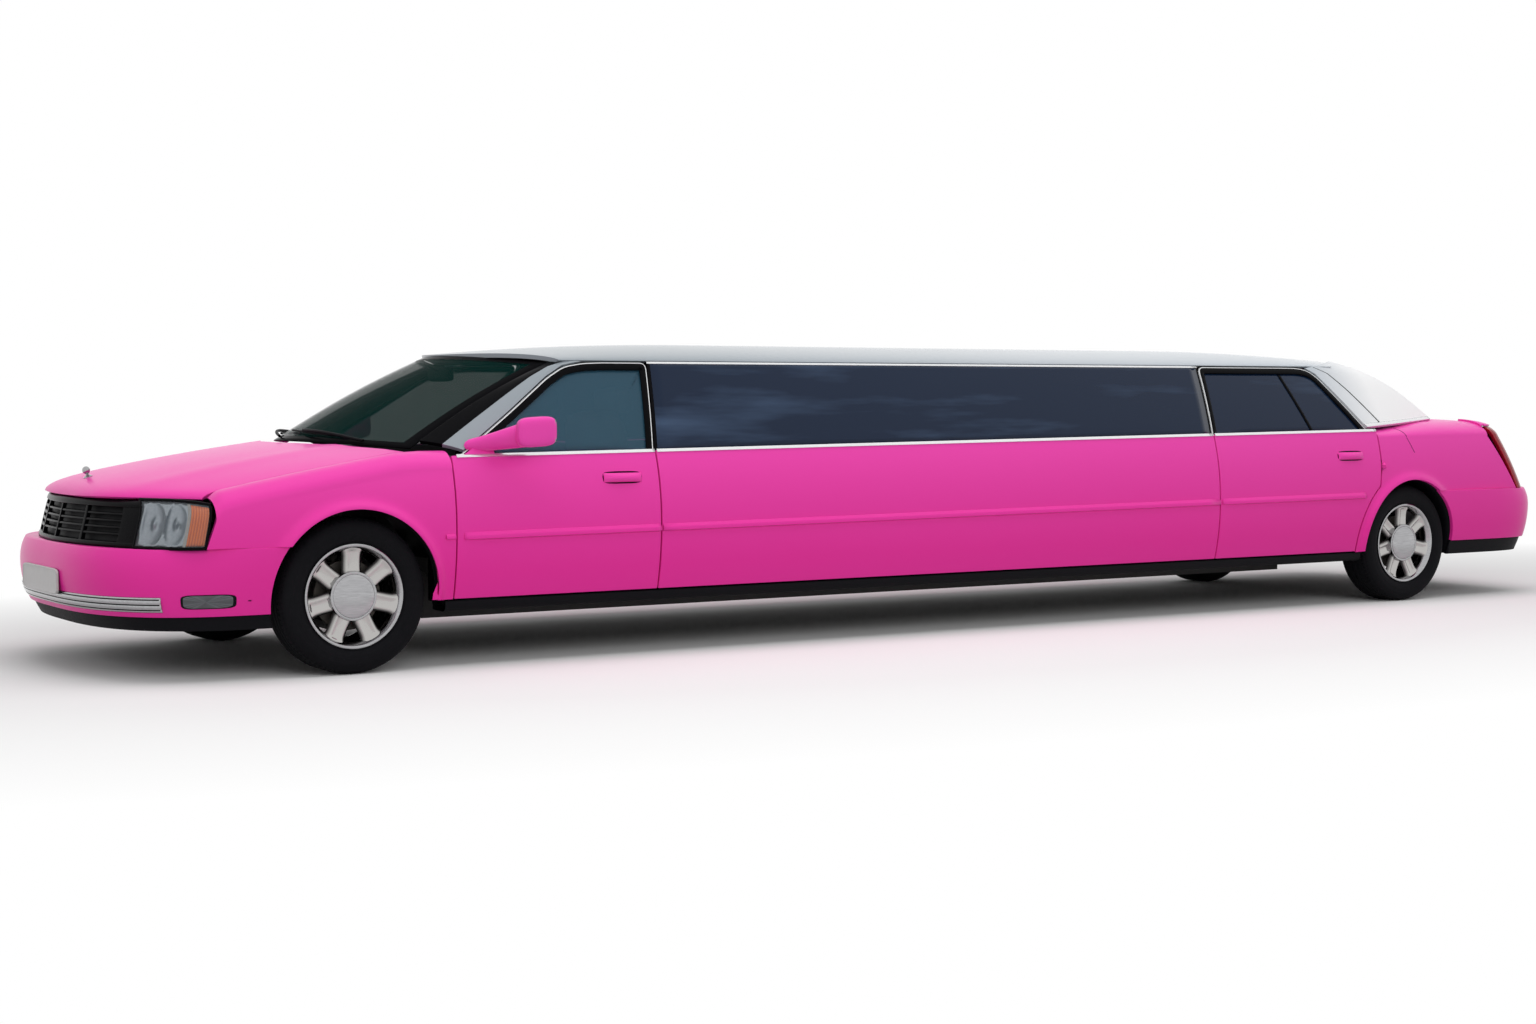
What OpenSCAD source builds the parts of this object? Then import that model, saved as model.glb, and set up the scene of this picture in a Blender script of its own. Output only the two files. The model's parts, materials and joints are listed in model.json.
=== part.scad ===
// Stretch limousine: a four-door saloon lengthened between its front and rear doors.
// X points forward, Y to the left and Z up. The origin is on the ground under the middle of the car.
// Body panels are lofts: a skin function gives each point of a panel from two shares, u and v.

/* [Overall] */
// Length added between the front and the rear doors
stretch = 3556; // [3000:4:3900]
// Length of the saloon before it is stretched
saloon_length = 5258; // [5200:2:5320]
// Wheelbase of the saloon before it is stretched
saloon_wheelbase = 2929; // [2900:1:2960]
// Distance from the nose to the front axle
front_overhang = 1085; // [1070:1:1110]
// Greatest width of the body
body_w = 1890; // [1860:2:1920]
// Height of the roof's crown
roof_z = 1440; // [1425:1:1470]

/* [Wheels] */
// Outer radius of the tyres
tyre_r = 335; // [325:1:340]
// Section width of the tyres
tyre_w = 225; // [205:1:230]
// Radius of the rim's outer lip
rim_r = 224; // [215:1:232]
// Distance between the front wheels' middle planes
front_track = 1593; // [1570:1:1600]
// Distance between the rear wheels' middle planes
rear_track = 1580; // [1560:1:1595]
// Spokes in each wheel
spoke_count = 7; // [5:1:9]
// Radius of the cap in the middle of each wheel
cap_r = 98; // [85:1:105]
// Radius of the spindle that carries each wheel
spindle_r = 32; // [26:1:36]
// Radius of the steering pins
steer_pin_r = 16; // [12:1:20]
// Radial clearance of a wheel on its spindle and of a steering pin in its eye
running_gap = 0.06; // [0.02:0.01:0.1]
// Radius of the front wheel arches
front_arch_r = 374; // [368:1:382]
// Radius of the rear wheel arches
rear_arch_r = 368; // [362:1:376]

/* [Lower body] */
// Height of the lower edge of the doors and side panels
sill_z = 302; // [296:1:310]
// Height of the lower edge of the black sills
sill_base_z = 246; // [236:1:256]
// Height of the widest line of the body side
waist_z = 600; // [560:5:640]
// Height of the window line at the front door's leading edge
belt_front_z = 928; // [915:1:940]
// Height of the window line at the rear door's trailing edge
belt_rear_z = 990; // [975:1:1005]
// Thickness of the outer panels
skin_t = 28; // [22:1:32]
// Depth of a door from its outer to its inner face
door_t = 105; // [95:1:115]
// Gap round the doors and lids
panel_gap = 7.5; // [7:0.5:8.5]
// Clearance where one fixed piece seats on another
seat_gap = 0.3; // [0.2:0.05:0.5]
// Height of the front bumper's upper edge
bumper_top_z = 560; // [552:1:568]
// Height of the front bumper's lower edge
bumper_base_z = 276; // [268:1:284]
// Height of the lower edge of the front valance
valance_base_z = 216; // [208:1:226]
// Height of the rear bumper's upper edge
rear_bumper_top_z = 634; // [626:1:642]
// Height of the rear bumper's lower edge
rear_bumper_base_z = 336; // [328:1:344]
// Height of the deck along the trunk lid's sides
deck_z = 1034; // [1026:1:1044]
// Depth of the number plate
plate_t = 10; // [6:1:14]

/* [Greenhouse] */
// Height of the roof rails above the side windows
rail_z = 1350; // [1342:1:1358]
// Inset of the roof rails from the widest line
rail_inset = 275; // [262:1:288]
// Inset of the window line from the widest line
belt_inset = 58; // [50:1:66]
// Thickness of the glass
glass_t = 6; // [5:0.5:8]
// Depth of the window frames in front of the glass
frame_t = 12; // [10:0.5:14]
// Width of the frame round each side window
frame_w = 34; // [30:1:38]
// Thickness of the roof
roof_t = 30; // [24:1:36]

/* [Hidden] */
$fn = 48;

paint = "hotpink";
roof_paint = "gainsboro";
black = "#1c1c1e";
dark_grey = "#3a3b3d";
chrome = "silver";
clear_tint = "#3f6d66";
privacy_tint = "#26364a";
leather = "#8d8378";

// Axle stations and overall length
wheelbase = saloon_wheelbase + stretch;
length = saloon_length + stretch;
rear_overhang = length - wheelbase - front_overhang;
fa = length / 2 - front_overhang;
ra = fa - wheelbase;
half_w = body_w / 2;

// Door cuts: distances behind the front axle, or ahead of the rear axle
front_door_lead = 456;
front_door_trail = 1485;
rear_door_lead = 1510;
rear_door_trail = 250;
post_lean = 75;
arch_margin = 60;
hinge_back = 48;
hinge_y = 897;
hinge_z = [480, 650];
hinge_h = 40;
hinge_pin_r = 5;
hinge_arm = 16;
edge_bevel = 24;
fb = fa - front_door_lead;
rb = ra + rear_door_trail;
front_cut = fa - front_door_trail;
rear_cut = ra + rear_door_lead;

function mix(a, b, t) = a + (b - a) * t;
function share(x, a, b) = min(1, max(0, (x - a) / (b - a)));
function ease(t) = let(c = min(1, max(0, t))) c * c * (3 - 2 * c);
function along(list, u) = let(k = u * (len(list) - 1), i = min(len(list) - 2, floor(k)))
    mix(list[i], list[i + 1], k - i);
// A line of [x, z] points moved sideways by d, to the left of its direction
function beside(list, d) = [for (i = [0:len(list) - 1])
    let(t = list[min(len(list) - 1, i + 1)] - list[max(0, i - 1)], s = t / norm(t))
    list[i] + d * [-s[1], s[0]]];
// Points on an arc about [x, z], from one angle to another
function arc(x, z, r, from, to, n) = [for (k = [0:n]) let(a = mix(from, to, k / n))
    [x + r * cos(a), z + r * sin(a)]];

// Half-width of the body's widest line at a station
nose_narrowing = 45;
tail_narrowing = 40;
function flank(x) = half_w - nose_narrowing * pow(max(0, x - fb) / (front_overhang + front_door_lead), 2)
    - tail_narrowing * pow(max(0, rb - x) / (rear_overhang + rear_door_trail), 2);

// Height of the window line
function belt_z(x) = mix(belt_front_z, belt_rear_z, share(x, fb, rb));

// Body side below the window line, tucked in at the sill and towards the windows
sill_tuck = 40;
function side_y(x, z) = flank(x) - (z < waist_z
    ? sill_tuck * pow((waist_z - z) / (waist_z - sill_z), 2)
    : belt_inset * pow((z - waist_z) / (belt_z(x) - waist_z), 2.2));
function side_point(q) = [q[0], side_y(q[0], q[1]), q[1]];

// Surface of the side windows, leaning in towards the roof and narrowing towards the tail
glass_step = 12;
tail_taper = 70;
function glass_y(x, z) = let(s = (z - belt_z(x)) / (rail_z - belt_z(x)))
    flank(x) - belt_inset - glass_step - (rail_inset - belt_inset - glass_step) * s * (0.85 + 0.15 * s)
    - tail_taper * pow(max(0, rb + 250 - x) / rear_overhang, 2);
function glass_point(q) = [q[0], glass_y(q[0], q[1]), q[1]];

// Closed loft with outer(u, v) and inner(u, v) as its two faces, cut into nu by nv cells.
// The outer face looks along the cross product of the directions of u and v.
module loft(outer, inner, nu, nv) {
    n = (nu + 1) * (nv + 1);
    at = function(i, j) i * (nv + 1) + j;
    polyhedron(
        [for (face = [outer, inner]) for (i = [0:nu]) for (j = [0:nv]) face(i / nu, j / nv)],
        concat(
            [for (i = [0:nu - 1]) for (j = [0:nv - 1]) for (half = [0, 1]) half == 0
                ? [at(i, j), at(i, j + 1), at(i + 1, j + 1)] : [at(i, j), at(i + 1, j + 1), at(i + 1, j)]],
            [for (i = [0:nu - 1]) for (j = [0:nv - 1]) for (half = [0, 1]) half == 0
                ? [n + at(i, j), n + at(i + 1, j + 1), n + at(i, j + 1)]
                : [n + at(i, j), n + at(i + 1, j), n + at(i + 1, j + 1)]],
            [for (i = [0:nu - 1]) [at(i, 0), at(i + 1, 0), n + at(i + 1, 0), n + at(i, 0)]],
            [for (i = [0:nu - 1]) [at(i + 1, nv), at(i, nv), n + at(i, nv), n + at(i + 1, nv)]],
            [for (j = [0:nv - 1]) [at(0, j + 1), at(0, j), n + at(0, j), n + at(0, j + 1)]],
            [for (j = [0:nv - 1]) [at(nu, j), at(nu, j + 1), n + at(nu, j + 1), n + at(nu, j)]]));
}

// Panel whose two faces lie at two depths behind a skin, measured along one direction
inward = [0, -1, 0];
down = [0, 0, -1];
module panel(skin, nu, nv, near, far, way) {
    loft(function(u, v) skin(u, v) + near * way, function(u, v) skin(u, v) + far * way, nu, nv);
}
module both_sides() {
    children();
    mirror([0, 1, 0]) children();
}

// Hood surface: a rising line from the grille to the cowl, falling to both sides
hood_reach = front_overhang - 110;
hood_front_z = 785;
hood_rise = 203;
hood_run = 1085;
hood_half_w = 800;
function hood_line(x) = hood_front_z
    + hood_rise * pow(min(1.1, max(0, fa + hood_reach - x) / hood_run), 0.62);
function hood_fall(x) = mix(52, 100, share(x, fa - 333, fa + 620));
function hood_z(x, y) = hood_line(x) - hood_fall(x) * pow(abs(y) / hood_half_w, 2.5);

// Rounded shoulder from the side at height s to an inner edge; t runs from 0 on the side to 1 on top
function shoulder(x, s, inner_y, top_z, t) =
    [x, inner_y + (side_y(x, s) - inner_y) * cos(90 * t), s + (top_z - s) * sin(90 * t)];
side_share = 0.7;
function roll(v) = share(v, side_share, 1);

// Hinge pins of the hood and the trunk lid: short bars across the shut gap, on [x, z] axes
lid_pin_r = 3.5;
hood_axis = [fa - 235, 930];
lid_axis = [ra - 536, 1024];
module lid_pin(axis, y_from, y_to, gap) {
    translate([axis[0], y_from, axis[1]]) rotate([-90, 0, 0]) cylinder(h = y_to - y_from,
        r = lid_pin_r + gap);
}

// Front wing: its lower edge follows the bumper, the wheel arch and the sill
lamp_base_f = 655;
lamp_top_f = 612;
shoulder_drop = 90;
wing_arch_front = asin((bumper_top_z + seat_gap - tyre_r) / front_arch_r);
wing_arch_rear = 180 - asin((sill_z - tyre_r) / front_arch_r);
wing_edge = concat(
    [for (k = [0:3]) [mix(fa + lamp_base_f, fa + front_arch_r * cos(wing_arch_front), k / 4),
        bumper_top_z + seat_gap]],
    arc(fa, tyre_r, front_arch_r, wing_arch_front, wing_arch_rear, 10),
    [for (k = [1:3]) [mix(fa + front_arch_r * cos(wing_arch_rear), fb + panel_gap / 2, k / 3), sill_z]]);
wing_skin = function(u, v)
    let(x = mix(fa + lamp_top_f, fb + panel_gap / 2, u), top = hood_z(x, hood_half_w),
        s = top - shoulder_drop)
    v < side_share ? side_point(mix(along(wing_edge, u), [x, s], v / side_share))
        : shoulder(x, s, hood_half_w + panel_gap, top, roll(v));
module fenders() {
    color(paint) both_sides() {
        lid_pin(hood_axis, hood_half_w - 14, hood_half_w + 24, 0);
        loft(wing_skin, function(u, v) wing_skin(u, v) + [edge_bevel * share(u, 0.9, 1), 0, 0]
            - skin_t * [0, cos(90 * roll(v)), sin(90 * roll(v))], len(wing_edge) - 1, 10);
    }
}

// Side panel of the stretched part, from the sill to the window line
module mid_panels() {
    skin = function(u, v) let(x = mix(front_cut - panel_gap / 2, rear_cut + panel_gap / 2, u))
        side_point([x, mix(sill_z, belt_z(x), v)]);
    color(paint) both_sides()
        loft(skin, function(u, v) skin(u, v) + [edge_bevel * share(u, 0.5, 1), -skin_t, 0], 2, 8);
}

// Rear door's trailing edge: round the wheel arch, then up to the window line
door_arch_r = rear_arch_r + arch_margin;
door_corner = rear_door_trail + 17;
arch_leave_z = tyre_r + sqrt(pow(door_arch_r, 2) - pow(door_corner, 2));
function rear_door_edge(z) = z < arch_leave_z
    ? ra + sqrt(pow(door_arch_r, 2) - pow(z - tyre_r, 2))
    : ra + mix(door_corner, rear_door_trail, share(z, arch_leave_z, arch_leave_z + 120));
front_door_skin = function(u, v) let(x = mix(fb - panel_gap / 2, front_cut + panel_gap / 2, u))
    side_point([x, mix(sill_z, belt_z(x), v)]);
rear_door_skin = function(u, v)
    let(x = mix(rear_cut - panel_gap / 2, rear_door_edge(mix(sill_z, belt_rear_z, v)) + panel_gap / 2, u))
    side_point([x, mix(sill_z, belt_z(x), v)]);

// Outer outlines of the side window frames, from the front of the window line over the top to its rear
frame_top = rail_z - panel_gap;
upper_gap = 9;
front_outline = [[fb - 52, belt_z(fb - 52)], [fb - 330, 1112], [fb - 560, 1270], [fb - 660, 1322],
    [fb - 760, frame_top - 4], [fb - 860, frame_top], [front_cut - post_lean + panel_gap / 2, frame_top],
    [front_cut + panel_gap / 2, belt_z(front_cut)]];
rear_outline = [[rear_cut - panel_gap / 2, belt_z(rear_cut)], [rear_cut - post_lean - panel_gap / 2,
    frame_top],
    [ra + 690, frame_top], [ra + 610, frame_top - 10], [ra + 555, 1300], [ra + 470, 1190], [ra + 315,
        belt_z(ra + 315)]];
frame_root = 15;
frame_cuts = 3;
module window_frame(outline) {
    inner = beside(outline, frame_w);
    last = len(outline) - 1;
    root = [0, frame_root];
    outside = concat([outline[0] - root], outline, [outline[last] - root]);
    inside = concat([inner[0] - root], inner, [inner[last] - root]);
    panel(function(u, v) glass_point(mix(along(inside, u), along(outside, u), v)),
        (len(outside) - 1) * frame_cuts, 1, 0, frame_t, inward);
}

// Pane behind a frame, from the window line up to a lap behind the frame's inner edge
glass_lap = 10;
pane_least = 4;
pane_gap = 1.6;
module pane(outline) {
    edge = beside(outline, frame_w - glass_lap);
    last = len(edge) - 1;
    panel(function(u, v) let(top = along(edge, u), x = mix(edge[0][0], edge[last][0], u),
        low = belt_z(x) + seat_gap)
        glass_point(mix([x, low], [top[0], max(top[1], low + pane_least)], v)),
        last * 2, 3, frame_t + pane_gap, frame_t + pane_gap + glass_t, inward);
}

// Door hinge: a bored arm on the body's post, and the door's pin between two brackets
module hinge_leaf(x) {
    for (z = hinge_z) difference() {
        union() {
            translate([x - hinge_back, hinge_y, z]) cylinder(h = hinge_h, r = hinge_arm / 2);
            translate([x - hinge_back - hinge_arm / 2, 820, z]) cube([hinge_arm, hinge_y - 820, hinge_h]);
            translate([x - hinge_back - hinge_arm / 2, 820, z]) cube([hinge_back + hinge_arm / 2 + 30,
                hinge_arm, hinge_h]);
        }
        translate([x - hinge_back, hinge_y, z - 1]) cylinder(h = hinge_h + 2, r = hinge_pin_r
            + running_gap);
    }
}
module hinge_pins(x) {
    for (z = hinge_z) {
        translate([x - hinge_back, hinge_y, z - 18]) cylinder(h = hinge_h + 36, r = hinge_pin_r);
        for (foot = [z - 20, z + hinge_h + 6])
            translate([x - hinge_back - 30, hinge_y - 7, foot]) cube([37, 36, 14]);
    }
}

// Door: outer skin, inner box set back from the shut edges, window frame and pull handle
handle_l = 176;
handle_h = 34;
handle_out = 16;
module handle(x, z) {
    panel(function(u, v) side_point([x + handle_l * (0.5 - u), z + handle_h * (v - 0.5)])
        + [0, handle_out * sqrt(sin(mix(12, 168, u)) * sin(mix(20, 160, v))), 0], 4, 2, 0, handle_out
            + 6, inward);
}
door_cells = 8;
door_rows = 8;
function door_rim(t, n) = share(min(t, 1 - t), 1 / n, 2 / n);
module door(skin) {
    loft(skin, function(u, v) skin(u, v)
        + mix(skin_t, door_t, min(door_rim(u, door_cells), door_rim(v, door_rows))) * inward,
            door_cells, door_rows);
}
module front_door() {
    color(paint) {
        door(front_door_skin);
        hinge_pins(fb);
        window_frame(front_outline);
        handle(fa - 1290, 818);
    }
}
module rear_door() {
    color(paint) {
        door(rear_door_skin);
        hinge_pins(rear_cut);
        window_frame(rear_outline);
        handle(ra + 496, 846);
    }
}
module front_door_left() { front_door(); }
module front_door_right() { mirror([0, 1, 0]) front_door(); }
module rear_door_left() { rear_door(); }
module rear_door_right() { mirror([0, 1, 0]) rear_door(); }
module front_glass_left() { color(clear_tint) pane(front_outline); }
module front_glass_right() { color(clear_tint) mirror([0, 1, 0]) pane(front_outline); }
module rear_glass_left() { color(privacy_tint) pane(rear_outline); }
module rear_glass_right() { color(privacy_tint) mirror([0, 1, 0]) pane(rear_outline); }

// Posts at both ends of the mid windows, carried on lower posts behind the door edges
post_w = 105;
post_t = 40;
mid_lead = front_cut - panel_gap / 2;
mid_trail = rear_cut + panel_gap / 2;
lower_post_t = 60;
door_inner_y = half_w - belt_inset - skin_t - seat_gap;
function post_skin(lead) = function(u, v)
    let(z = mix(belt_z(lead - post_w * u) + seat_gap, rail_z + 1 - seat_gap, v))
    glass_point([lead - post_lean * v - post_w * u, z]);
module lower_post(x_from, x_to, outer_y, z_from, z_to) {
    translate([x_from, outer_y - lower_post_t, z_from]) cube([x_to - x_from, lower_post_t, z_to - z_from]);
}
function liner_top(d) = tyre_r + sqrt(pow(rear_liner_r + liner_t, 2) - d * d);
module pillars() {
    sweep_y = half_w - 105;
    color(black) both_sides() {
        panel(post_skin(mid_lead), 1, 4, 0, post_t, inward);
        panel(post_skin(mid_trail + post_w), 1, 4, 0, post_t, inward);
        lower_post(fb + 24, fb + 80, side_y(fb, sill_z) - skin_t - 2 * seat_gap, sill_z - panel_gap, 840);
        hinge_leaf(fb);
        hinge_leaf(rear_cut);
        lower_post(front_cut - 80, front_cut + 20, door_inner_y - 3, sill_z, belt_front_z);
        lower_post(rear_cut + 24, rear_cut + 90, sweep_y, sill_z, belt_front_z);
        lower_post(rb - 90, rb + 20, door_inner_y - 3, liner_top(rb - 90 - ra) + seat_gap, belt_front_z);
    }
}
module mid_windows() {
    front_x = mid_lead - post_w - seat_gap;
    rear_x = mid_trail + post_w + seat_gap;
    color(privacy_tint) both_sides()
        panel(function(u, v) let(x = mix(front_x, rear_x, u),
                z = mix(belt_z(x) + seat_gap, rail_z + 1 - seat_gap,
                    v)) glass_point([x - post_lean * v, z]),
            2, 4, 2, 2 + glass_t, inward);
}

// Roof: crowned top between the two headers, front pillars and sail panels
header_x = fa - 800;
header_bow = 300;
rear_header_x = rb - 10;
rear_header_bow = 150;
function roof_crown(x) = roof_z - 62 * pow(1 - share(x, header_x + 40, header_x - 1300), 2.2)
    - 45 * pow(share(x, rear_header_x + 1100, rear_header_x), 2);
roof_skin = function(u, v) let(e = cos(180 * v),
        x = mix(header_x - header_bow * e * e, rear_header_x + rear_header_bow * e * e, u),
            edge = rail_z + 1)
    [x, glass_y(x, rail_z) * e, edge + (roof_crown(x) - edge) * pow(1 - pow(abs(e), 2.4), 0.625)];
pillar_t = 26;
pillar_way = [0, -0.98, 0.12];
pillar_screen_way = [0, -0.5, -0.7];
screen_base = [fa - 345, 750, 976];
screen_top = [header_x - 268, 632, rail_z - 6];
pillar_line = [for (k = [0:4]) beside(front_outline, -upper_gap)[k]];
sail_line = [for (k = [6:-1:3]) beside(rear_outline, -upper_gap)[k]];
sail_low = [ra - 455, 668, deck_z];
sail_top = [ra + 325, 590, rail_z + 34];
sail_lift = 10;
pillar_skin = function(u, v) let(q = along(pillar_line, v),
        t = share(q[0], pillar_line[0][0], pillar_line[4][0]))
    mix(mix(screen_base, screen_top, t) + [0, 0, 24 * sin(180 * t)], glass_point(q), u)
    + [0, 8 * sin(180 * u), 5 * sin(180 * u)];
sail_skin = function(u, v) mix(glass_point(along(sail_line, v)), mix(sail_low, sail_top, v)
    + [0, 0, 34 * sin(180 * v)], u) + [0, 16 * sin(180 * u), sail_lift * (1 - v)];
module roof() {
    color(roof_paint) {
        loft(roof_skin, function(u, v) roof_skin(u, v) - roof_t * [0, cos(180 * v), sin(180 * v)], 16, 14);
        both_sides() {
            loft(pillar_skin, function(u, v) pillar_skin(u, v) + pillar_t * mix(pillar_screen_way,
                pillar_way, u), 2, 8);
            panel(sail_skin, 6, 6, 0, pillar_t, pillar_way);
        }
    }
}

// Windscreen and rear window, bowed across the car
screen_front = fa - 55;
screen_base_z = 984;
screen_gap = 4.4;
screen_skin = function(u, v) let(e = 1 - 2 * v, x = mix(screen_front, header_x + screen_gap,
    u) - 275 * e * e)
    [x, mix(735, 616, u) * e, mix(screen_base_z, roof_crown(header_x) - 6, u)
        + 20 * sin(180 * u) - mix(24, 34, u) * e * e];
module windscreen() {
    color(clear_tint, 0.6) panel(screen_skin, 6, 10, 0, glass_t, down);
}
back_glass_base = ra - 452;
back_skin = function(u, v) let(e = 1 - 2 * v,
        x = mix(rear_header_x - 14, back_glass_base, u) + mix(120, 20, u) * e * e)
    [x, mix(575, 640, u) * e, mix(roof_crown(rear_header_x) - 8, deck_z + 14, u)
        + 34 * sin(180 * u) - mix(30, 8, u) * e * e];
module rear_window() {
    color(privacy_tint) panel(back_skin, 6, 8, 0, glass_t, down);
}

// Hood, with the generic ball ornament that stands on it
hood_corner_f = 632;
hood_lip = 10;
hood_back = fa - 5;
hood_skin = function(u, v) let(e = cos(180 * v), front_x = fa + mix(hood_reach, hood_corner_f,
    pow(abs(e), 3.4)),
        x = mix(front_x, hood_back - 270 * e * e, pow(u, 1.4)), y = hood_half_w * e)
    [x, y, hood_z(x, y) - 10 * pow(1 - u, 8)];
module hood() {
    color(paint) difference() {
        loft(hood_skin, function(u, v) hood_skin(u, v) + mix(hood_lip, skin_t, share(u, 0,
            0.2)) * down, 10, 12);
        both_sides() lid_pin(hood_axis, hood_half_w - 16, hood_half_w + 5, running_gap);
    }
}
ornament_x = fa + hood_reach - 110;
module hood_ornament() {
    tilt = atan((hood_z(ornament_x - 10, 0) - hood_z(ornament_x + 10, 0)) / 20);
    color(chrome) translate([ornament_x, 0, hood_z(ornament_x, 0) - 1.2]) rotate([0, tilt, 0]) {
        cylinder(h = 16, r1 = 18, r2 = 7);
        translate([0, 0, 30]) sphere(r = 17);
    }
}

// Cowl trough under the windscreen's base, with two wiper arms
module cowl() {
    color(black) {
        panel(function(u, v) let(e = 1 - 2 * v) [mix(hood_back - 12, screen_front - 50,
            u) - 272 * e * e, 690 * e,
            mix(940, 956, u) - 20 * e * e], 1, 10, 0, 14, down);
        for (y = [-330, 330]) translate([screen_front - 60 - 275 * pow((y + 200) / 735, 2), y + 200, 940])
            cylinder(h = 34, r = 11);
    }
}

// Rear quarters: flank, wheel arch and deck sides, joined below the rear window
quarter_s = 945;
deck_half_w = 662;
tail_lamp_lead = rear_overhang - 544;
tail_lamp_foot = rear_overhang - 324;
function quarter_y(x, z) = z < quarter_s ? side_y(x, z)
    : mix(deck_half_w, side_y(x, quarter_s), sqrt(max(0,
        1 - pow((z - quarter_s) / (deck_z - quarter_s), 2))));
rear_arch_front = asin((sill_z - tyre_r) / rear_arch_r);
rear_arch_back = 180 - asin((rear_bumper_top_z + seat_gap - tyre_r) / rear_arch_r);
quarter_edge = concat(
    [for (k = [0:1]) [mix(rear_door_edge(sill_z) - panel_gap / 2, ra
        + rear_arch_r * cos(rear_arch_front), k / 2), sill_z]],
    arc(ra, tyre_r, rear_arch_r, rear_arch_front, rear_arch_back, 10),
    [for (k = [1:6]) [mix(ra + rear_arch_r * cos(rear_arch_back), ra - tail_lamp_foot, k / 6),
        rear_bumper_top_z + seat_gap]]);
quarter_skin = function(u, v)
    let(x = mix(rb - panel_gap / 2, ra - tail_lamp_lead, u), low = along(quarter_edge, u),
        t = v / side_share,
        z = mix(low[1], quarter_s, t), free_x = mix(low[0], x, t))
    v < side_share ? side_point([mix(rear_door_edge(z) - panel_gap / 2 - 3, free_x, ease(u * 6)), z])
        : shoulder(x, quarter_s, mix(deck_half_w + 110, deck_half_w, ease(u * 1.6)),
            mix(belt_rear_z, deck_z, ease(u * 1.6)), roll(v));
lid_lead = 506;
module rear_quarters() {
    color(paint) {
        both_sides() loft(quarter_skin,
            function(u, v) quarter_skin(u, v) - skin_t * [0, cos(90 * roll(v)), sin(90 * roll(v))],
            len(quarter_edge) - 1, 10);
        panel(function(u, v) [mix(ra - 400, ra - lid_lead + 14, u), mix(700, -700, v), deck_z - 12],
            1, 2, 0, 14, down);
        translate([back_glass_base, -60, deck_z - 20]) cube([14, 120, 34 - glass_t - seat_gap]);
        both_sides() lid_pin(lid_axis, lid_half_w - 14, deck_half_w + 16, 0);
    }
}

// Ends of the car: plan curves from the left flank at w = 0 round to the right flank at w = 1
function end_plan(w, start, reach, wide, power) = let(a = 180 * w - 90, p = 2 / power)
    [start + (reach - start) * pow(abs(cos(a)), p), -sign(a) * wide * pow(abs(sin(a)), p)];
function end_share(y, wide, power) = 0.5 - asin(pow(min(1, y / wide), power / 2)) / 180;
function bulge(z, low, mid, high, under, over) = z < mid
    ? under * pow((mid - z) / (mid - low), 2) : over * pow((z - mid) / (high - mid), 2.5);
bumper_power = 2.9;
mask_power = 1.8;
bumper_cells = 32;
nose = front_overhang - plate_t;
function front_arch_f(z) = sqrt(pow(front_arch_r, 2) - pow(z - tyre_r, 2));
function rear_arch_f(z) = sqrt(pow(rear_arch_r, 2) - pow(z - tyre_r, 2));
nose_band = function(w, z, depth) let(start = front_arch_f(z),
        q = end_plan(w, start, nose - bulge(z, bumper_base_z, 450, bumper_top_z, 40, 26) - depth,
            side_y(fa + start, max(z, sill_z - 40)) - depth, bumper_power)) [fa + q[0], q[1], z];
tail_band = function(w, z, depth) let(start = rear_arch_f(z),
        q = end_plan(w, start, rear_overhang - bulge(z, rear_bumper_base_z, 520, rear_bumper_top_z, 26,
            40) - depth,
            side_y(ra - start, max(z, sill_z - 40)) - depth, 3.4)) [ra - q[0], q[1], z];
module band(skin, from_w, to_w, from_z, to_z, cells, rows, near, far) {
    loft(function(u, v) skin(mix(from_w, to_w, u), mix(from_z, to_z, v), near),
        function(u, v) skin(mix(from_w, to_w, u), mix(from_z, to_z, v), far), cells, rows);
}
module front_bumper() {
    color(paint) band(nose_band, 1, 0, bumper_base_z, bumper_top_z, bumper_cells, 4, 0, skin_t);
}
module rear_bumper() {
    color(paint) band(tail_band, 0, 1, rear_bumper_base_z, rear_bumper_top_z, bumper_cells, 4, 0, skin_t);
}

// Mask above the front bumper: headlamps at both sides of the grille
lamp_top_z = 758;
lamp_inner_y = 660;
lamp_foot_z = bumper_top_z + seat_gap;
mask = function(w, z, depth) let(t = share(z, lamp_foot_z, 782), start = mix(lamp_base_f, lamp_top_f, t),
        q = end_plan(w, start, front_overhang - mix(60, 118, t) - depth, side_y(fa + start, z) - depth,
            mask_power))
    [fa + q[0], q[1], z];
lamp_w = end_share(lamp_inner_y, 905, mask_power);
lamp_t = 60;
module headlamps() {
    color("#cfd6da") for (s = [0, 1]) mirror([0, s, 0])
        band(mask, lamp_w - 0.004, 0.004, lamp_foot_z, lamp_top_z, 8, 4, 0, lamp_t);
}
grille_bars = 5;
grille_posts = 13;
grille_half_w = 560;
grille_top_z = 754;
grille_bar_h = 9;
grille_rim = 26;
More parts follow.
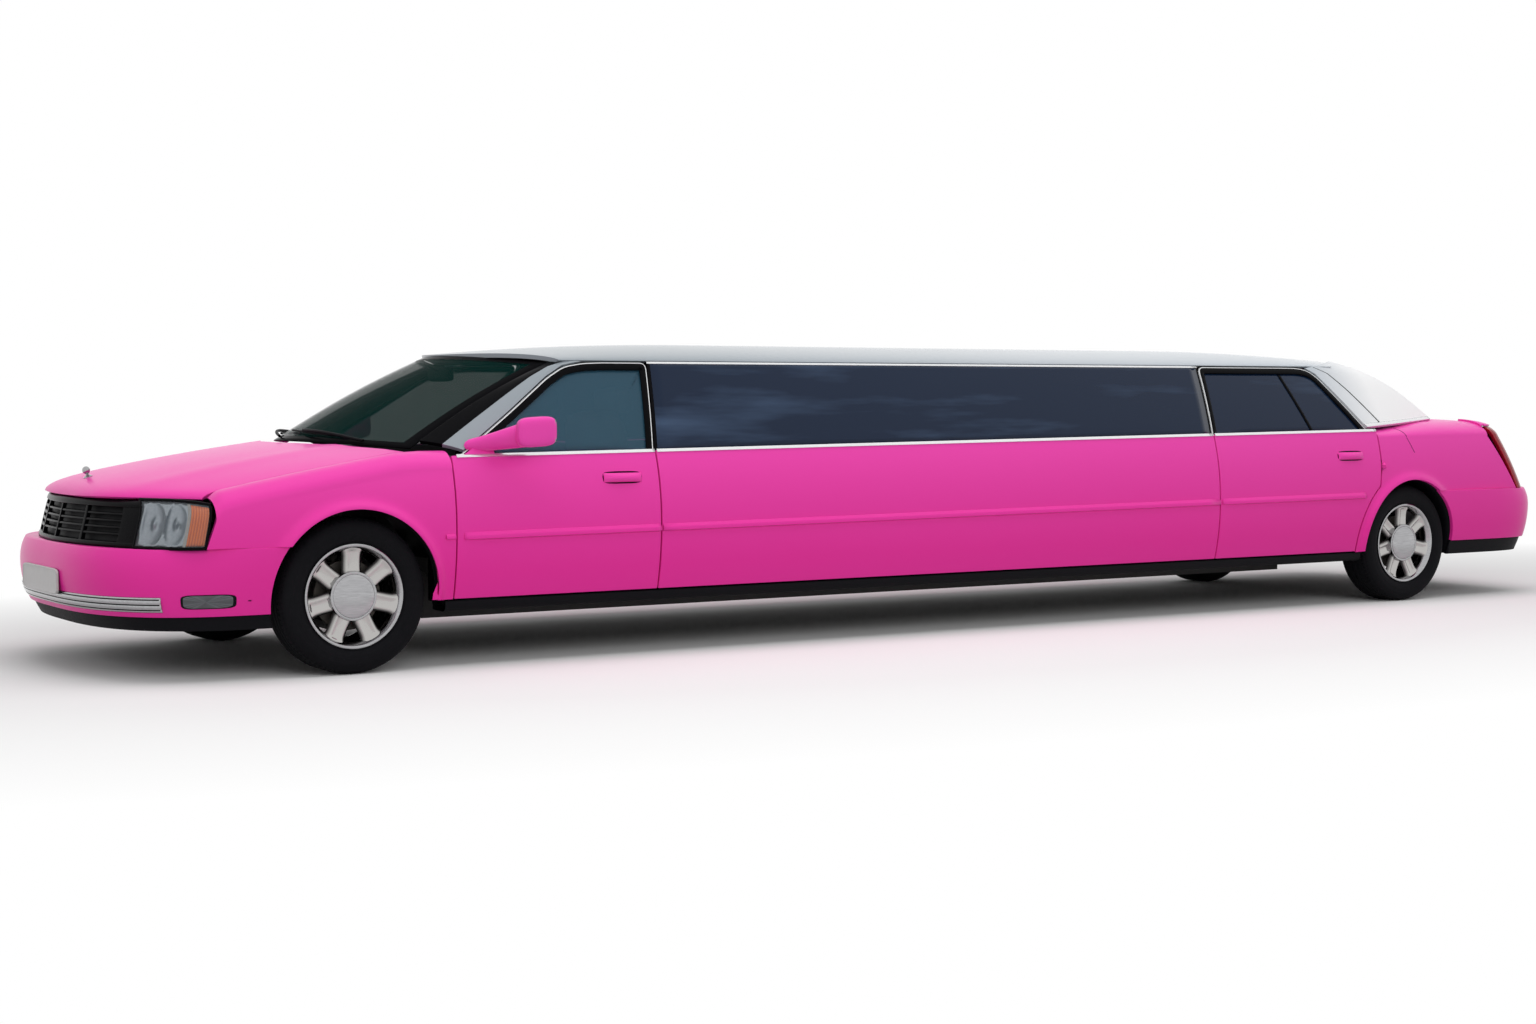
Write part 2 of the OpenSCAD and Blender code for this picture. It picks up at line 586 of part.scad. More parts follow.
module grille() {
    grille_w = end_share(grille_half_w, 905, mask_power);
    low = lamp_foot_z;
    pitch = (grille_top_z - grille_rim - low - grille_rim) / (grille_bars + 1);
    color(black) {
        band(mask, 1 - lamp_w, lamp_w, low, low + grille_rim, 16, 1, 2, 50);
        band(mask, 1 - lamp_w, lamp_w, grille_top_z - grille_rim, grille_top_z, 16, 1, 0, 50);
        for (s = [0, 1]) mirror([0, s, 0]) band(mask, grille_w, lamp_w, low, grille_top_z, 3, 2, 6, 40);
        for (k = [1:grille_bars]) band(mask, 1 - grille_w, grille_w, low + grille_rim
            + k * pitch - grille_bar_h / 2,
            low + grille_rim + k * pitch + grille_bar_h / 2, 12, 1, 8, 40);
        for (k = [1:grille_posts]) let(w = mix(grille_w, 1 - grille_w, k / (grille_posts + 1)))
            band(mask, w + 0.004, w - 0.004, low + 2, grille_top_z - 2, 1, 2, 14, 44);
    }
}

// Chrome bar and blank plate on the front bumper, oblong lamps at its sides
bar_base_z = 300;
bar_top_z = 360;
module lower_bar() {
    color(chrome) band(nose_band, 1 - 9 / bumper_cells, 9 / bumper_cells, bar_base_z, bar_top_z, 14, 2,
        -9, -0.5);
}
plate_w = 520;
plate_h = 110;
plate_z = 346;
plate_seat = 1;
module number_plate() {
    color("whitesmoke") translate([fa + nose - plate_seat, -plate_w / 2, plate_z])
        cube([plate_t + plate_seat, plate_w, plate_h]);
}
module bumper_lamps() {
    color(dark_grey) both_sides()
        band(nose_band, 5 / bumper_cells, 2 / bumper_cells, 312, 370, 3, 2, -6, -0.5);
}

// Tail lamps and the trunk lid between them
tail_lamp_top_z = 1000;
tail_lamp_inner_y = 668;
function tail_start(z) = mix(tail_lamp_foot, tail_lamp_lead + 14, share(z, rear_bumper_top_z,
    tail_lamp_top_z));
tail_mask = function(w, z, depth) let(t = share(z, rear_bumper_top_z, tail_lamp_top_z),
    start = tail_start(z),
        q = end_plan(w, start, rear_overhang - mix(70, 262, t) - depth, quarter_y(ra - start,
            z) - depth, 2.3))
    [ra - q[0], q[1], z];
tail_lamp_skin = function(u, v) let(z = mix(rear_bumper_top_z + seat_gap, tail_lamp_top_z, v))
    tail_mask(mix(0.006, end_share(tail_lamp_inner_y, quarter_y(ra - tail_start(z), z), 2.3), u), z, 0);
module tail_lamps() {
    color("firebrick") both_sides()
        loft(tail_lamp_skin, function(u, v) tail_lamp_skin(u, v) + mix([6, -40, 0], [45, 0, 0], u), 6, 5);
}
lid_half_w = deck_half_w - panel_gap;
lid_fold = 0.55;
lid_skin = function(u, v) let(e = 1 - 2 * v, y = lid_half_w * e, t = (u - lid_fold) / (1 - lid_fold),
        z = mix(tail_lamp_top_z, rear_bumper_top_z + panel_gap + 4, t),
        edge_x = tail_mask(end_share(abs(y), quarter_y(ra - tail_lamp_lead, tail_lamp_top_z), 2.3),
            tail_lamp_top_z, 0)[0])
    u < lid_fold ? [mix(ra - lid_lead, edge_x + 14, u / lid_fold), y,
            deck_z + 14 * (1 - e * e) - 20 * pow(u / lid_fold, 4)]
        : [tail_mask(end_share(abs(y), 890, 2.3), z, 0)[0], y, z];
module trunk_lid() {
    color(paint) difference() {
        loft(lid_skin, function(u, v) lid_skin(u, v)
            + mix([-8, 0, -skin_t], [skin_t, 0, -4], ease(share(u, 0.35, 0.75))), 20, 8);
        both_sides() lid_pin(lid_axis, lid_half_w - 16, lid_half_w + 5, running_gap);
    }
}

// Black sills, front and rear valances
sill_inner_y = 760;
module lower_trim() {
    front_x = fa - front_arch_r - 48;
    rear_x = ra + rear_arch_r + 6;
    sill_outer_y = half_w - sill_tuck - 12;
    color(black) {
        both_sides() {
            translate([rear_x, sill_inner_y, sill_base_z])
                cube([front_x - rear_x, sill_outer_y - sill_inner_y, sill_z - panel_gap - sill_base_z]);
            translate([mid_trail, sill_inner_y, sill_base_z])
                cube([mid_lead - mid_trail, sill_outer_y - sill_inner_y, sill_z - seat_gap - sill_base_z]);
        }
        band(nose_band, 1, 0, valance_base_z, bumper_base_z - seat_gap, bumper_cells, 1, 14, 40);
        band(tail_band, 0, 1, 256, rear_bumper_base_z - seat_gap, bumper_cells, 1, 14, 40);
    }
}

// Underbody: one folded sheet from the firewall over the floor to the boot, with box rails under it
floor_t = 26;
floor_z = 262;
kick_z = 560;
boot_z = 420;
rail_in_y = 400;
rail_out_y = 470;
rail_h = 90;
front_rail_z = 380;
bumper_stub_gap = 3.2;
boot_end = ra - rear_overhang + 154;
floor_line = [[fa - 330, 930], [fa - 400, kick_z], [fa - 640, floor_z], [ra + 600, floor_z],
    [ra + 430, kick_z], [ra - 480, kick_z], [ra - 540, boot_z], [boot_end + 20, boot_z], [boot_end, 580]];
rear_half_w = 560;
module floor_slice(x_from, x_to, half) {
    under = beside(floor_line, floor_t);
    outline = concat(floor_line, [for (i = [len(under) - 1:-1:0]) under[i]]);
    intersection() {
        rotate([90, 0, 0]) linear_extrude(height = 2 * half, center = true) polygon(outline);
        translate([x_from, -half, 0]) cube([x_to - x_from, 2 * half, 1000]);
    }
}
module underbody() {
    rail_w = rail_out_y - rail_in_y;
    color(dark_grey) {
        floor_slice(fa - 440, fa, rail_out_y);
        floor_slice(ra + 450, fa - 440, sill_inner_y);
        floor_slice(ra - rear_overhang, ra + 450, rear_half_w);
        both_sides() {
            translate([ra + 600, rail_in_y, 180]) cube([fa - 500 - ra - 600, rail_w,
                floor_z - floor_t - 180 + 1]);
            translate([fa - 560, rail_in_y, 180]) cube([60, rail_w, front_rail_z + rail_h - 180]);
            translate([fa - 560, rail_in_y, front_rail_z]) cube([1460, rail_w, rail_h]);
        }
        translate([fa + 860, -rail_out_y, front_rail_z]) cube([40, 2 * rail_out_y, rail_h]);
        translate([fa - 345, -95, 905]) cube([285, 190, 27]);
        translate([ra - rear_overhang + skin_t + bumper_stub_gap, -40, 500]) cube([120, 80, 40]);
        translate([fa + 890, -40, front_rail_z + 50]) cube([nose - skin_t - bumper_stub_gap - 890, 80,
            rail_h - 50]);
    }
}

// Wheel liners: half tunnels over the wheels, wide enough in front for the steered tyres
liner_t = 6;
front_liner_r = 450;
rear_liner_r = rear_arch_r + 18;
steer_offset = 150;
steer_y = front_track / 2 - steer_offset;
module liner(x, r, y_from, y_to, low_z) {
    intersection() {
        translate([x, y_to, tyre_r]) rotate([90, 0, 0]) difference() {
            cylinder(h = y_to - y_from, r = r + liner_t);
            translate([0, 0, -1]) cylinder(h = y_to - y_from + 2, r = r);
        }
        translate([x - r - 20, y_from, low_z]) cube([2 * r + 40, y_to - y_from, r + 400]);
    }
}
module wheel_liners() {
    color(black) both_sides() {
        difference() {
            liner(fa, front_liner_r, rail_out_y, front_track / 2 - 1.5, 470);
            translate([fa, steer_y, 600]) cylinder(h = 400, r = 44);
        }
        liner(ra, rear_liner_r, rear_half_w, 868, tyre_r + 3);
    }
}

// Engine block on its two mounts, and the exhaust from its underside to the tail
module engine() {
    mount_r = 30;
    color("dimgray") {
        translate([fa - 180, -330, 300]) cube([600, 660, 480]);
        both_sides() translate([fa + 120, 320, front_rail_z + rail_h / 2]) rotate([-90, 0, 0])
            cylinder(h = rail_in_y - 320, r = mount_r);
    }
}
pipe_y = -220;
pipe_r = 28;
muffler_z = 316;
muffler_l = 420;
muffler_r = 66;
pipe_line = [[fa - 560, 204], [ra + 520, 204], [ra + 330, 470], [ra - 330, 470],
    [boot_end + 490, muffler_z], [boot_end - 60, muffler_z]];
module exhaust() {
    hanger = 16;
    color("slategray") translate([0, pipe_y, 0]) {
        for (i = [0:len(pipe_line) - 2]) let(d = pipe_line[i + 1] - pipe_line[i])
            translate([pipe_line[i][0], 0, pipe_line[i][1]]) {
                rotate([0, atan2(d[0], d[1]), 0]) cylinder(h = norm(d), r = pipe_r);
                sphere(r = pipe_r + 2);
            }
        translate([boot_end, 0, muffler_z]) rotate([0, 90, 0]) cylinder(h = muffler_l, r = muffler_r);
        translate([boot_end + 290, -hanger, muffler_z]) cube([2 * hanger, 2 * hanger,
            boot_z - floor_t - muffler_z]);
        translate([fa - 1500, -hanger, 204]) cube([2 * hanger, 2 * hanger, floor_z - floor_t - 204]);
    }
}

// Front suspension: cradle with two lower arms, and the towers that hold the struts' tops
arm_z = 176;
arm_h = 32;
eye_r = 34;
tower_z = 806;
tower_h = 26;
module eye(z, h) {
    translate([fa, steer_y, z]) cylinder(h = h, r = eye_r);
}
module front_suspension() {
    color(dark_grey) both_sides() difference() {
        union() {
            translate([fa - 180, 0, arm_z]) cube([360, 430, 50]);
            translate([fa - 40, rail_in_y, arm_z]) cube([80, rail_out_y - rail_in_y, front_rail_z - arm_z]);
            translate([fa - 30, rail_in_y, arm_z]) cube([60, steer_y - rail_in_y, arm_h]);
            translate([fa - 30, rail_in_y, front_rail_z + rail_h])
                cube([60, 60, tower_z + tower_h - front_rail_z - rail_h]);
            translate([fa - 30, rail_in_y, tower_z]) cube([60, steer_y - rail_in_y, tower_h]);
            eye(arm_z, arm_h);
            eye(tower_z, tower_h);
        }
        translate([fa, steer_y, 0]) cylinder(h = 1000, r = steer_pin_r + running_gap);
    }
}

// Steering knuckle: upright with its strut above, its lower pin and the wheel's spindle
hub_l = 60;
spindle_end = 26;
module knuckle() {
    color("gray") translate([fa, steer_y, 0]) {
        translate([0, 0, arm_z - 4]) cylinder(h = tower_z + tower_h + 4 - arm_z, r = steer_pin_r);
        translate([0, 0, 440]) cylinder(h = 330, r = 26);
        translate([-38, -34, arm_z + arm_h + 10]) cube([76, 68, 250]);
        translate([0, 0, tyre_r]) rotate([-90, 0, 0]) {
            cylinder(h = steer_offset - hub_l - 14, r = 58);
            cylinder(h = steer_offset + spindle_end, r = spindle_r);
        }
    }
}
module knuckle_left() { knuckle(); }
module knuckle_right() { mirror([0, 1, 0]) knuckle(); }

// Rear axle: cross beam on two coil spring towers, with the rear wheels' spindles at its ends
module rear_axle() {
    color(dark_grey) both_sides() translate([ra, 0, tyre_r]) {
        rotate([-90, 0, 0]) cylinder(h = rear_track / 2 - hub_l - 14, r = 46);
        rotate([-90, 0, 0]) cylinder(h = rear_track / 2 + spindle_end, r = spindle_r);
        translate([0, 470, 0]) cylinder(h = kick_z - floor_t - tyre_r, r = 54);
    }
}

// Wheels, each about its own middle with the outer face towards +Y
bead_r = rim_r - 12;
bead_w = 92;
rim_half_w = bead_w + 10;
module tyre() {
    w = tyre_w / 2;
    side = [[bead_r, bead_w], [rim_r + 5, bead_w], [rim_r + 12, 0.9 * w], [rim_r + 50, w],
        [tyre_r - 36, 0.985 * w],
        [tyre_r - 16, 0.88 * w], [tyre_r - 5, 0.74 * w], [tyre_r, 0.56 * w]];
    color(black) rotate([-90, 0, 0]) rotate_extrude()
        polygon(concat(side, [for (i = [len(side) - 1:-1:0]) [side[i][0], -side[i][1]]]));
}
spoke_root = 58;
spoke_tip = 74;
spoke_t = 34;
face_y = 84;
dome_h = 14;
module rim() {
    barrel_r = bead_r - 14;
    color(chrome) rotate([-90, 0, 0]) difference() {
        union() {
            rotate_extrude() polygon([[barrel_r, -rim_half_w], [rim_r, -rim_half_w], [rim_r,
                -bead_w - seat_gap],
                [bead_r - seat_gap, -bead_w - seat_gap], [bead_r - seat_gap, bead_w + seat_gap],
                [rim_r, bead_w + seat_gap], [rim_r, rim_half_w], [barrel_r, rim_half_w]]);
            for (k = [0:spoke_count - 1]) rotate([0, 0, 360 * k / spoke_count]) translate([0, 0,
                face_y - spoke_t])
                linear_extrude(height = spoke_t)
                    polygon([[40, -spoke_root / 2], [barrel_r + 4, -spoke_tip / 2], [barrel_r + 4,
                        spoke_tip / 2], [40, spoke_root / 2]]);
            rotate_extrude() polygon(concat([[0, -hub_l], [70, -hub_l], [70, face_y - spoke_t - 8],
                [cap_r + 8, face_y - spoke_t - 2], [cap_r + 8, face_y + 3], [cap_r, face_y + 6]],
                [for (k = [1:6]) let(r = cap_r * cos(15 * k)) [r < 1 ? 0 : r, face_y + 6
                    + dome_h * sin(15 * k)]]));
        }
        translate([0, 0, -hub_l - 1]) cylinder(h = hub_l + 1 + spindle_end + 2, r = spindle_r
            + running_gap);
    }
}
module on_wheel(x, track, right) {
    mirror([0, right, 0]) translate([x, track / 2, tyre_r]) children();
}
module tyre_front_left() { on_wheel(fa, front_track, 0) tyre(); }
module tyre_front_right() { on_wheel(fa, front_track, 1) tyre(); }
module tyre_rear_left() { on_wheel(ra, rear_track, 0) tyre(); }
module tyre_rear_right() { on_wheel(ra, rear_track, 1) tyre(); }
module rim_front_left() { on_wheel(fa, front_track, 0) rim(); }
module rim_front_right() { on_wheel(fa, front_track, 1) rim(); }
module rim_rear_left() { on_wheel(ra, rear_track, 0) rim(); }
module rim_rear_right() { on_wheel(ra, rear_track, 1) rim(); }

// Inside: dashboard, steering wheel and seats, as outlines carried across the car
module across(outline, y_from, y_to) {
    translate([0, y_to, 0]) rotate([90, 0, 0]) linear_extrude(height = y_to - y_from) polygon(outline);
}
dash_back = fa - 720;
module dashboard() {
    color(black) across([[fa - 336.1, 900], [fa - 640, 895], [dash_back, 850], [dash_back, 770],
        [fa - 600, 700], [fa - 366.8, 738]],
        -690, 690);
}
wheel_y = 370;
module steering_wheel() {
    grip_r = 178;
    color(black) translate([dash_back - seat_gap, wheel_y, 812]) {
        rotate([0, -90, 0]) cylinder(h = 90, r = 28);
        translate([-120, 0, 12]) rotate([0, -68, 0]) {
            rotate_extrude() translate([grip_r, 0]) circle(r = 14);
            translate([0, 0, -50]) cylinder(h = 62, r = 46);
            for (a = [0, 120, 240]) rotate([0, 0, a]) translate([0, -14, -8]) cube([grip_r, 28, 14]);
        }
    }
}
seat_outline = [[fa - 960, floor_z], [fa - 960, 470], [fa - 1000, 500], [fa - 1370, 460], [fa - 1470,
    1060], [fa - 1460, 1190],
    [fa - 1545, 1200], [fa - 1590, 1060], [fa - 1500, floor_z]];
module front_seats() {
    color(leather) both_sides() across(seat_outline, 120, 640);
}
bench_outline = [[ra + 1080, floor_z], [ra + 1080, 440], [ra + 1050, 480], [ra + 680, 455], [ra + 560,
    1040], [ra + 470, 1040],
    [ra + 590, 440], [ra + 640, floor_z]];
module lounge_seats() {
    side_from = rear_cut + 140;
    side_to = front_cut - 800;
    color(leather) {
        across(bench_outline, -620, 620);
        translate([side_from, -750, floor_z]) cube([side_to - side_from, 450, 200]);
        translate([side_from, -750, floor_z]) cube([side_to - side_from, 90, 600]);
    }
}

// Door mirror: rounded housing on an arm from a sail plate at the window's front corner
mirror_x = fa - 797;
mirror_y = 1018;
mirror_z = 1030;
mirror_plate_out = 17.4;
mirror_plate_gap = 0.7;
module mirror_unit() {
    low = [[fb - 62, belt_z(fb - 62) + 4], [fb - 210, belt_z(fb - 210) + 4]];
    high = [[fb - 186, 1004], [fb - 196, 1010]];
    color(paint) {
        panel(function(u, v) glass_point(mix(mix(low[0], low[1], u), mix(high[0], high[1], u), v)),
            1, 1, -mirror_plate_out, -mirror_plate_gap, inward);
        hull() for (x = [-62, 62]) for (z = [-42, 44]) for (y = [0, 38])
            translate([mirror_x + x, mirror_y + y, mirror_z + z - 0.05 * x]) sphere(r = 22, $fn = 10);
        hull() {
            translate([fb - 190, 886, 946]) cube([56, 4, 30]);
            translate([mirror_x - 10, mirror_y - 32, mirror_z - 46]) cube([66, 11, 40]);
        }
    }
}
module mirror_left() { mirror_unit(); }
module mirror_right() { mirror([0, 1, 0]) mirror_unit(); }

underbody();
wheel_liners();
fenders();
mid_panels();
pillars();
roof();
cowl();
rear_quarters();
front_bumper();
rear_bumper();
lower_trim();
grille();
headlamps();
tail_lamps();
bumper_lamps();
lower_bar();
number_plate();
windscreen();
rear_window();
mid_windows();
engine();
exhaust();
front_suspension();
rear_axle();
dashboard();
steering_wheel();
front_seats();
lounge_seats();
hood();
hood_ornament();
trunk_lid();
front_door_left();
front_door_right();
rear_door_left();
rear_door_right();
front_glass_left();
front_glass_right();
rear_glass_left();
rear_glass_right();
mirror_left();
mirror_right();
knuckle_left();
knuckle_right();
tyre_front_left();
tyre_front_right();
tyre_rear_left();
tyre_rear_right();
rim_front_left();
rim_front_right();
rim_rear_left();
rim_rear_right();
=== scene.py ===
# %% [markdown]
# # A stretch limousine
# The car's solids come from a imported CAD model, and this lesson gives them their looks. Each visible panel is
# worked out again as a smooth surface, from the same formulas as the solids, so it lies exactly where they are.
# Lengths in the formulas are millimetres, X points forward, Y to the left and Z up.

import json
from math import pi, radians

import bpy
import numpy as np
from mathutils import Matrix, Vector


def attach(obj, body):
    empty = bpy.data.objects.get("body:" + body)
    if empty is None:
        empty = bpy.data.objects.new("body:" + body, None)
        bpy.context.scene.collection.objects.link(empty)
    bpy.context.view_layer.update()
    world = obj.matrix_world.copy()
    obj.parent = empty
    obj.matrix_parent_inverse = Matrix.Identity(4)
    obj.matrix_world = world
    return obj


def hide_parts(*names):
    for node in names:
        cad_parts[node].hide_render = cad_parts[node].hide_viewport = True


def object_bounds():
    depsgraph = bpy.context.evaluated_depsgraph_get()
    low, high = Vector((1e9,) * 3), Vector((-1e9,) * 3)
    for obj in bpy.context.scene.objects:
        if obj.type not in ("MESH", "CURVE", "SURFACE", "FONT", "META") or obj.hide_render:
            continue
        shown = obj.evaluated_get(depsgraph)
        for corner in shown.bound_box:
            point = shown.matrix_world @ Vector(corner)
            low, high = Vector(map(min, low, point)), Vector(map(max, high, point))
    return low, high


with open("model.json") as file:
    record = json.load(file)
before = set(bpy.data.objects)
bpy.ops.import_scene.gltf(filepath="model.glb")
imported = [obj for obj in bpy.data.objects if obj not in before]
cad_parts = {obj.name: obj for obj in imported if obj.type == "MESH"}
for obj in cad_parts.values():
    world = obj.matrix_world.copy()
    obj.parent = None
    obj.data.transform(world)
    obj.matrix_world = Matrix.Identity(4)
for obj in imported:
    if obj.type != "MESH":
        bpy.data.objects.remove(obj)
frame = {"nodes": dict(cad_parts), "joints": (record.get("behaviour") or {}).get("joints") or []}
cad_box = [list(map(float, corner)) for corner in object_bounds()]
scene = bpy.context.scene
hinge = {joint["name"]: joint["pos_m"] for joint in frame["joints"]}
print("CAD box", cad_box)

# %% [markdown]
# ## Camera
# The photograph was taken from the left front, a little above the headlamps. A camera can be placed by eye, or
# worked out from known sizes: here the wheel centres and the roof gave its place, its direction and its lens.

# %% Camera
camera_data = bpy.data.cameras.new("camera")
camera_data.lens = 54.22
camera_data.sensor_width = 36
camera_data.clip_end = 200
camera = bpy.data.objects.new("camera", camera_data)
camera.location = (7.173, 10.106, 1.203)
camera_aim = Vector((-0.5417, -0.8390, -0.0516))
camera.rotation_euler = camera_aim.to_track_quat("-Z", "Y").to_euler()
scene.collection.objects.link(camera)
scene.camera = camera
print("camera at", tuple(camera.location))

# %% [markdown]
# ## Writing materials as expressions
# A material is a tree of nodes. Wiring each node by hand hides the idea, so one small class stands for an output
# socket: sums and products of it add Math nodes, and its node method adds any other node.

# %% Shader expressions
class Wire:
    """One output socket of a material. Arithmetic on wires and numbers adds Math nodes to the same material."""

    def __init__(self, tree, socket):
        self.tree = tree
        self.socket = socket

    def node(self, kind, settings=None, inputs=None, output=0):
        """A node of that type: its settings first, then the values or wires of its sockets."""
        made = self.tree.nodes.new(kind)
        for key, value in (settings or {}).items():
            if key == "stops":
                ramp = made.color_ramp
                while len(ramp.elements) < len(value):
                    ramp.elements.new(1)
                for element, (place, colour) in zip(ramp.elements, value):
                    element.position = place
                    element.color = (*colour, 1)
            else:
                setattr(made, key, value)
        for key, value in (inputs or {}).items():
            if isinstance(value, Wire):
                self.tree.links.new(value.socket, made.inputs[key])
            elif value is not None:
                made.inputs[key].default_value = value
        return Wire(self.tree, made.outputs[output])

    def math(self, operation, a, b=None):
        return self.node("ShaderNodeMath", {"operation": operation}, {0: a, 1: b})

    def __add__(self, other):
        return self.math("ADD", self, other)

    __radd__ = __add__

    def __sub__(self, other):
        return self.math("SUBTRACT", self, other)

    def __rsub__(self, other):
        return self.math("SUBTRACT", other, self)

    def __mul__(self, other):
        return self.math("MULTIPLY", self, other)

    __rmul__ = __mul__

    def __truediv__(self, other):
        return self.math("DIVIDE", self, other)

    def __abs__(self):
        return self.math("ABSOLUTE", self)

    def sine(self):
        return self.math("SINE", self)

    def below(self, limit):
        return self.math("LESS_THAN", self, limit)

    def clip(self):
        return self.node("ShaderNodeClamp", None, {0: self})

    def axis(self, name):
        return self.node("ShaderNodeSeparateXYZ", None, {0: self}, name)

    def stretch(self, factors):
        """A place multiplied along its three axes, so that a pattern read there is drawn out or squeezed."""
        return self.node("ShaderNodeVectorMath", {"operation": "MULTIPLY"}, {0: self, 1: factors})

    def noise(self, scale, detail=2.0, rough=0.5):
        return self.node("ShaderNodeTexNoise", None,
                         {"Vector": self, "Scale": scale, "Detail": detail, "Roughness": rough}, "Fac")

    def tint(self, dark, light):
        """A colour between two, by this wire's value. A colour is three numbers, or a wire."""
        ends = {key: end if isinstance(end, Wire) else (*end, 1) for key, end in ((6, dark), (7, light))}
        return self.node("ShaderNodeMix", {"data_type": "RGBA"}, {0: self, **ends}, 2)

    def bump(self, strength, distance):
        """A normal from this wire taken as a height, in metres when multiplied by the distance."""
        return self.node("ShaderNodeBump", None, {"Strength": strength, "Distance": distance, "Height": self}, "Normal")


print("shader expressions ready")


def finish(name, slot, paint_it, **fixed):
    """A material; its slot argument is not used. Fixed numbers go straight to the shader's sockets, and
    paint_it(place, uv) gives what varies over the surface."""
    material = bpy.data.materials.new(name)
    material.use_nodes = True
    tree = material.node_tree
    shader = tree.nodes["Principled BSDF"]
    for key, value in fixed.items():
        shader.inputs[key.replace("_", " ")].default_value = value
    start = Wire(tree, shader.outputs[0])
    place = start.node("ShaderNodeTexCoord", None, None, "Object")
    uv = start.node("ShaderNodeTexCoord", None, None, "UV")
    for key, wire in paint_it(place, uv).items():
        tree.links.new(wire.socket, shader.inputs[key.replace("_", " ")])
    return material


def srgb(red, green, blue):
    """Linear colour from the 0 to 255 numbers that a picture editor shows."""
    c = np.array([red, green, blue]) / 255
    return tuple(float(x) for x in np.where(c <= 0.04045, c / 12.92, ((c + 0.055) / 1.055) ** 2.4))


print("a mid grey of 128 is", round(srgb(128, 128, 128)[0], 3), "in linear light")

# %% [markdown]
# ## Finishes
# The paint is a solid pink under a thin clear coat, with painted light in its colour: deeper near the sills and
# lighter higher up, as the light falls on the side. A shallow orange peel breaks up its reflections. The roof is a real
# two-tone, white at the rear and silver-grey further forward, and its greying towards the front is a painted
# reflection.

# %% Paint finishes
# Height in metres where the painted light on the pink starts, and how far it rises
LIGHT_RAMP_LOW, LIGHT_RAMP_RISE = 0.42, 0.6
# Greys of the roof along the car: white rear and silver front are real two-tone; the greying to the front is a painted
# reflection
ROOF_RAMP_REAR, ROOF_RAMP_RUN = -3.6, 5.6
ROOF_TONE_AND_REFLECTION_STOPS = [(0.1, srgb(250, 250, 251)), (0.18, srgb(186, 194, 202)), (0.5, srgb(176, 183, 190)),
               (1, srgb(140, 149, 156))]


def sprayed(place, smooth):
    """The gloss of sprayed paint: a roughness that drifts, and fine noise as the height of the orange peel."""
    return {"Roughness": smooth + 0.06 * place.noise(35), "Normal": place.noise(420, 2).bump(0.06, 0.0004)}


def pink_paint(place, uv):
    """Painted light: nine tenths of the tint follow the height in metres, deeper low and lighter high as the light
    falls, and one tenth a broad noise.
    """
    # painted shade near the sills and painted light towards the top: the tint follows the height
    height = ((place.axis("Z") - LIGHT_RAMP_LOW) / LIGHT_RAMP_RISE).clip() * 0.9 + 0.1 * place.noise(0.8, 2)
    return {"Base_Color": height.tint(srgb(240, 46, 160), srgb(244, 76, 181)), **sprayed(place, 0.3)}


def roof_white(place, uv):
    """A ramp of greys along the car: the white rear and silver front are a real two-tone, and the gradual greying
    towards the front is a painted reflection.
    """
    along_car = ((place.axis("X") - ROOF_RAMP_REAR) / ROOF_RAMP_RUN).clip()
    # real two-tone with a painted reflection: darker grey towards the front
    tone_and_reflection = along_car.node("ShaderNodeValToRGB", {"stops": ROOF_TONE_AND_REFLECTION_STOPS}, {0: along_car})
    return {"Base_Color": tone_and_reflection, **sprayed(place, 0.28)}


PINK = finish("pink_paint", "paint", pink_paint, Coat_Weight=0.16, Coat_Roughness=0.05, Coat_IOR=1.3,
              Specular_IOR_Level=0.15)
ROOF_WHITE = finish("roof_white", "roof_paint", roof_white, Coat_Weight=0.4, Coat_Roughness=0.05)
print("paints:", PINK.name, ROOF_WHITE.name)

# %% [markdown]
# Black plastic, rubber, chrome and bare metal differ mostly in how they scatter light, so each gets its own grain:
# a fine pebble on plastic and rubber, faint polishing streaks on chrome, and painted shade on the spokes' flanks and
# feet.

# %% Trim, rubber and metal finishes
def grain(dark, light, scale, rough_from, rough_by, height):
    """A speckled finish: colour and roughness follow a broad noise, and a fine one lifts the surface."""
    def paint_it(place, uv):
        broad = place.noise(scale / 12, 3)
        return {"Base_Color": broad.tint(dark, light), "Roughness": rough_from + rough_by * broad,
                "Normal": place.noise(scale, 2).bump(0.35, height)}
    return paint_it


def polished(dark, light, rough_from, rough_by):
    """Bright metal: streaks stretched along the car vary the gloss a little."""
    def paint_it(place, uv):
        streak = place.stretch((6, 60, 60)).noise(3, 3)
        return {"Base_Color": streak.tint(dark, light), "Roughness": rough_from + rough_by * streak,
                "Normal": place.noise(260, 2).bump(0.03, 0.0004)}
    return paint_it


def spoke_chrome(place, uv):
    """Chrome that darkens towards a spoke's flanks and its foot: painted shade, as falls in the recesses of a real
    wheel.
    """
    # painted shade: darker chrome at the spoke's flanks and at its foot by the hub
    flank_shade = ((abs(uv.axis("Y") - 0.5) * 2.0 - 0.62) / 0.3).clip()
    foot_shade = ((0.34 - uv.axis("X")) / 0.3).clip()
    painted_shade = (flank_shade + foot_shade).clip()
    return {"Base_Color": painted_shade.tint(srgb(182, 180, 178), srgb(70, 68, 68)), "Roughness": 0.1 + 0.3 * painted_shade}


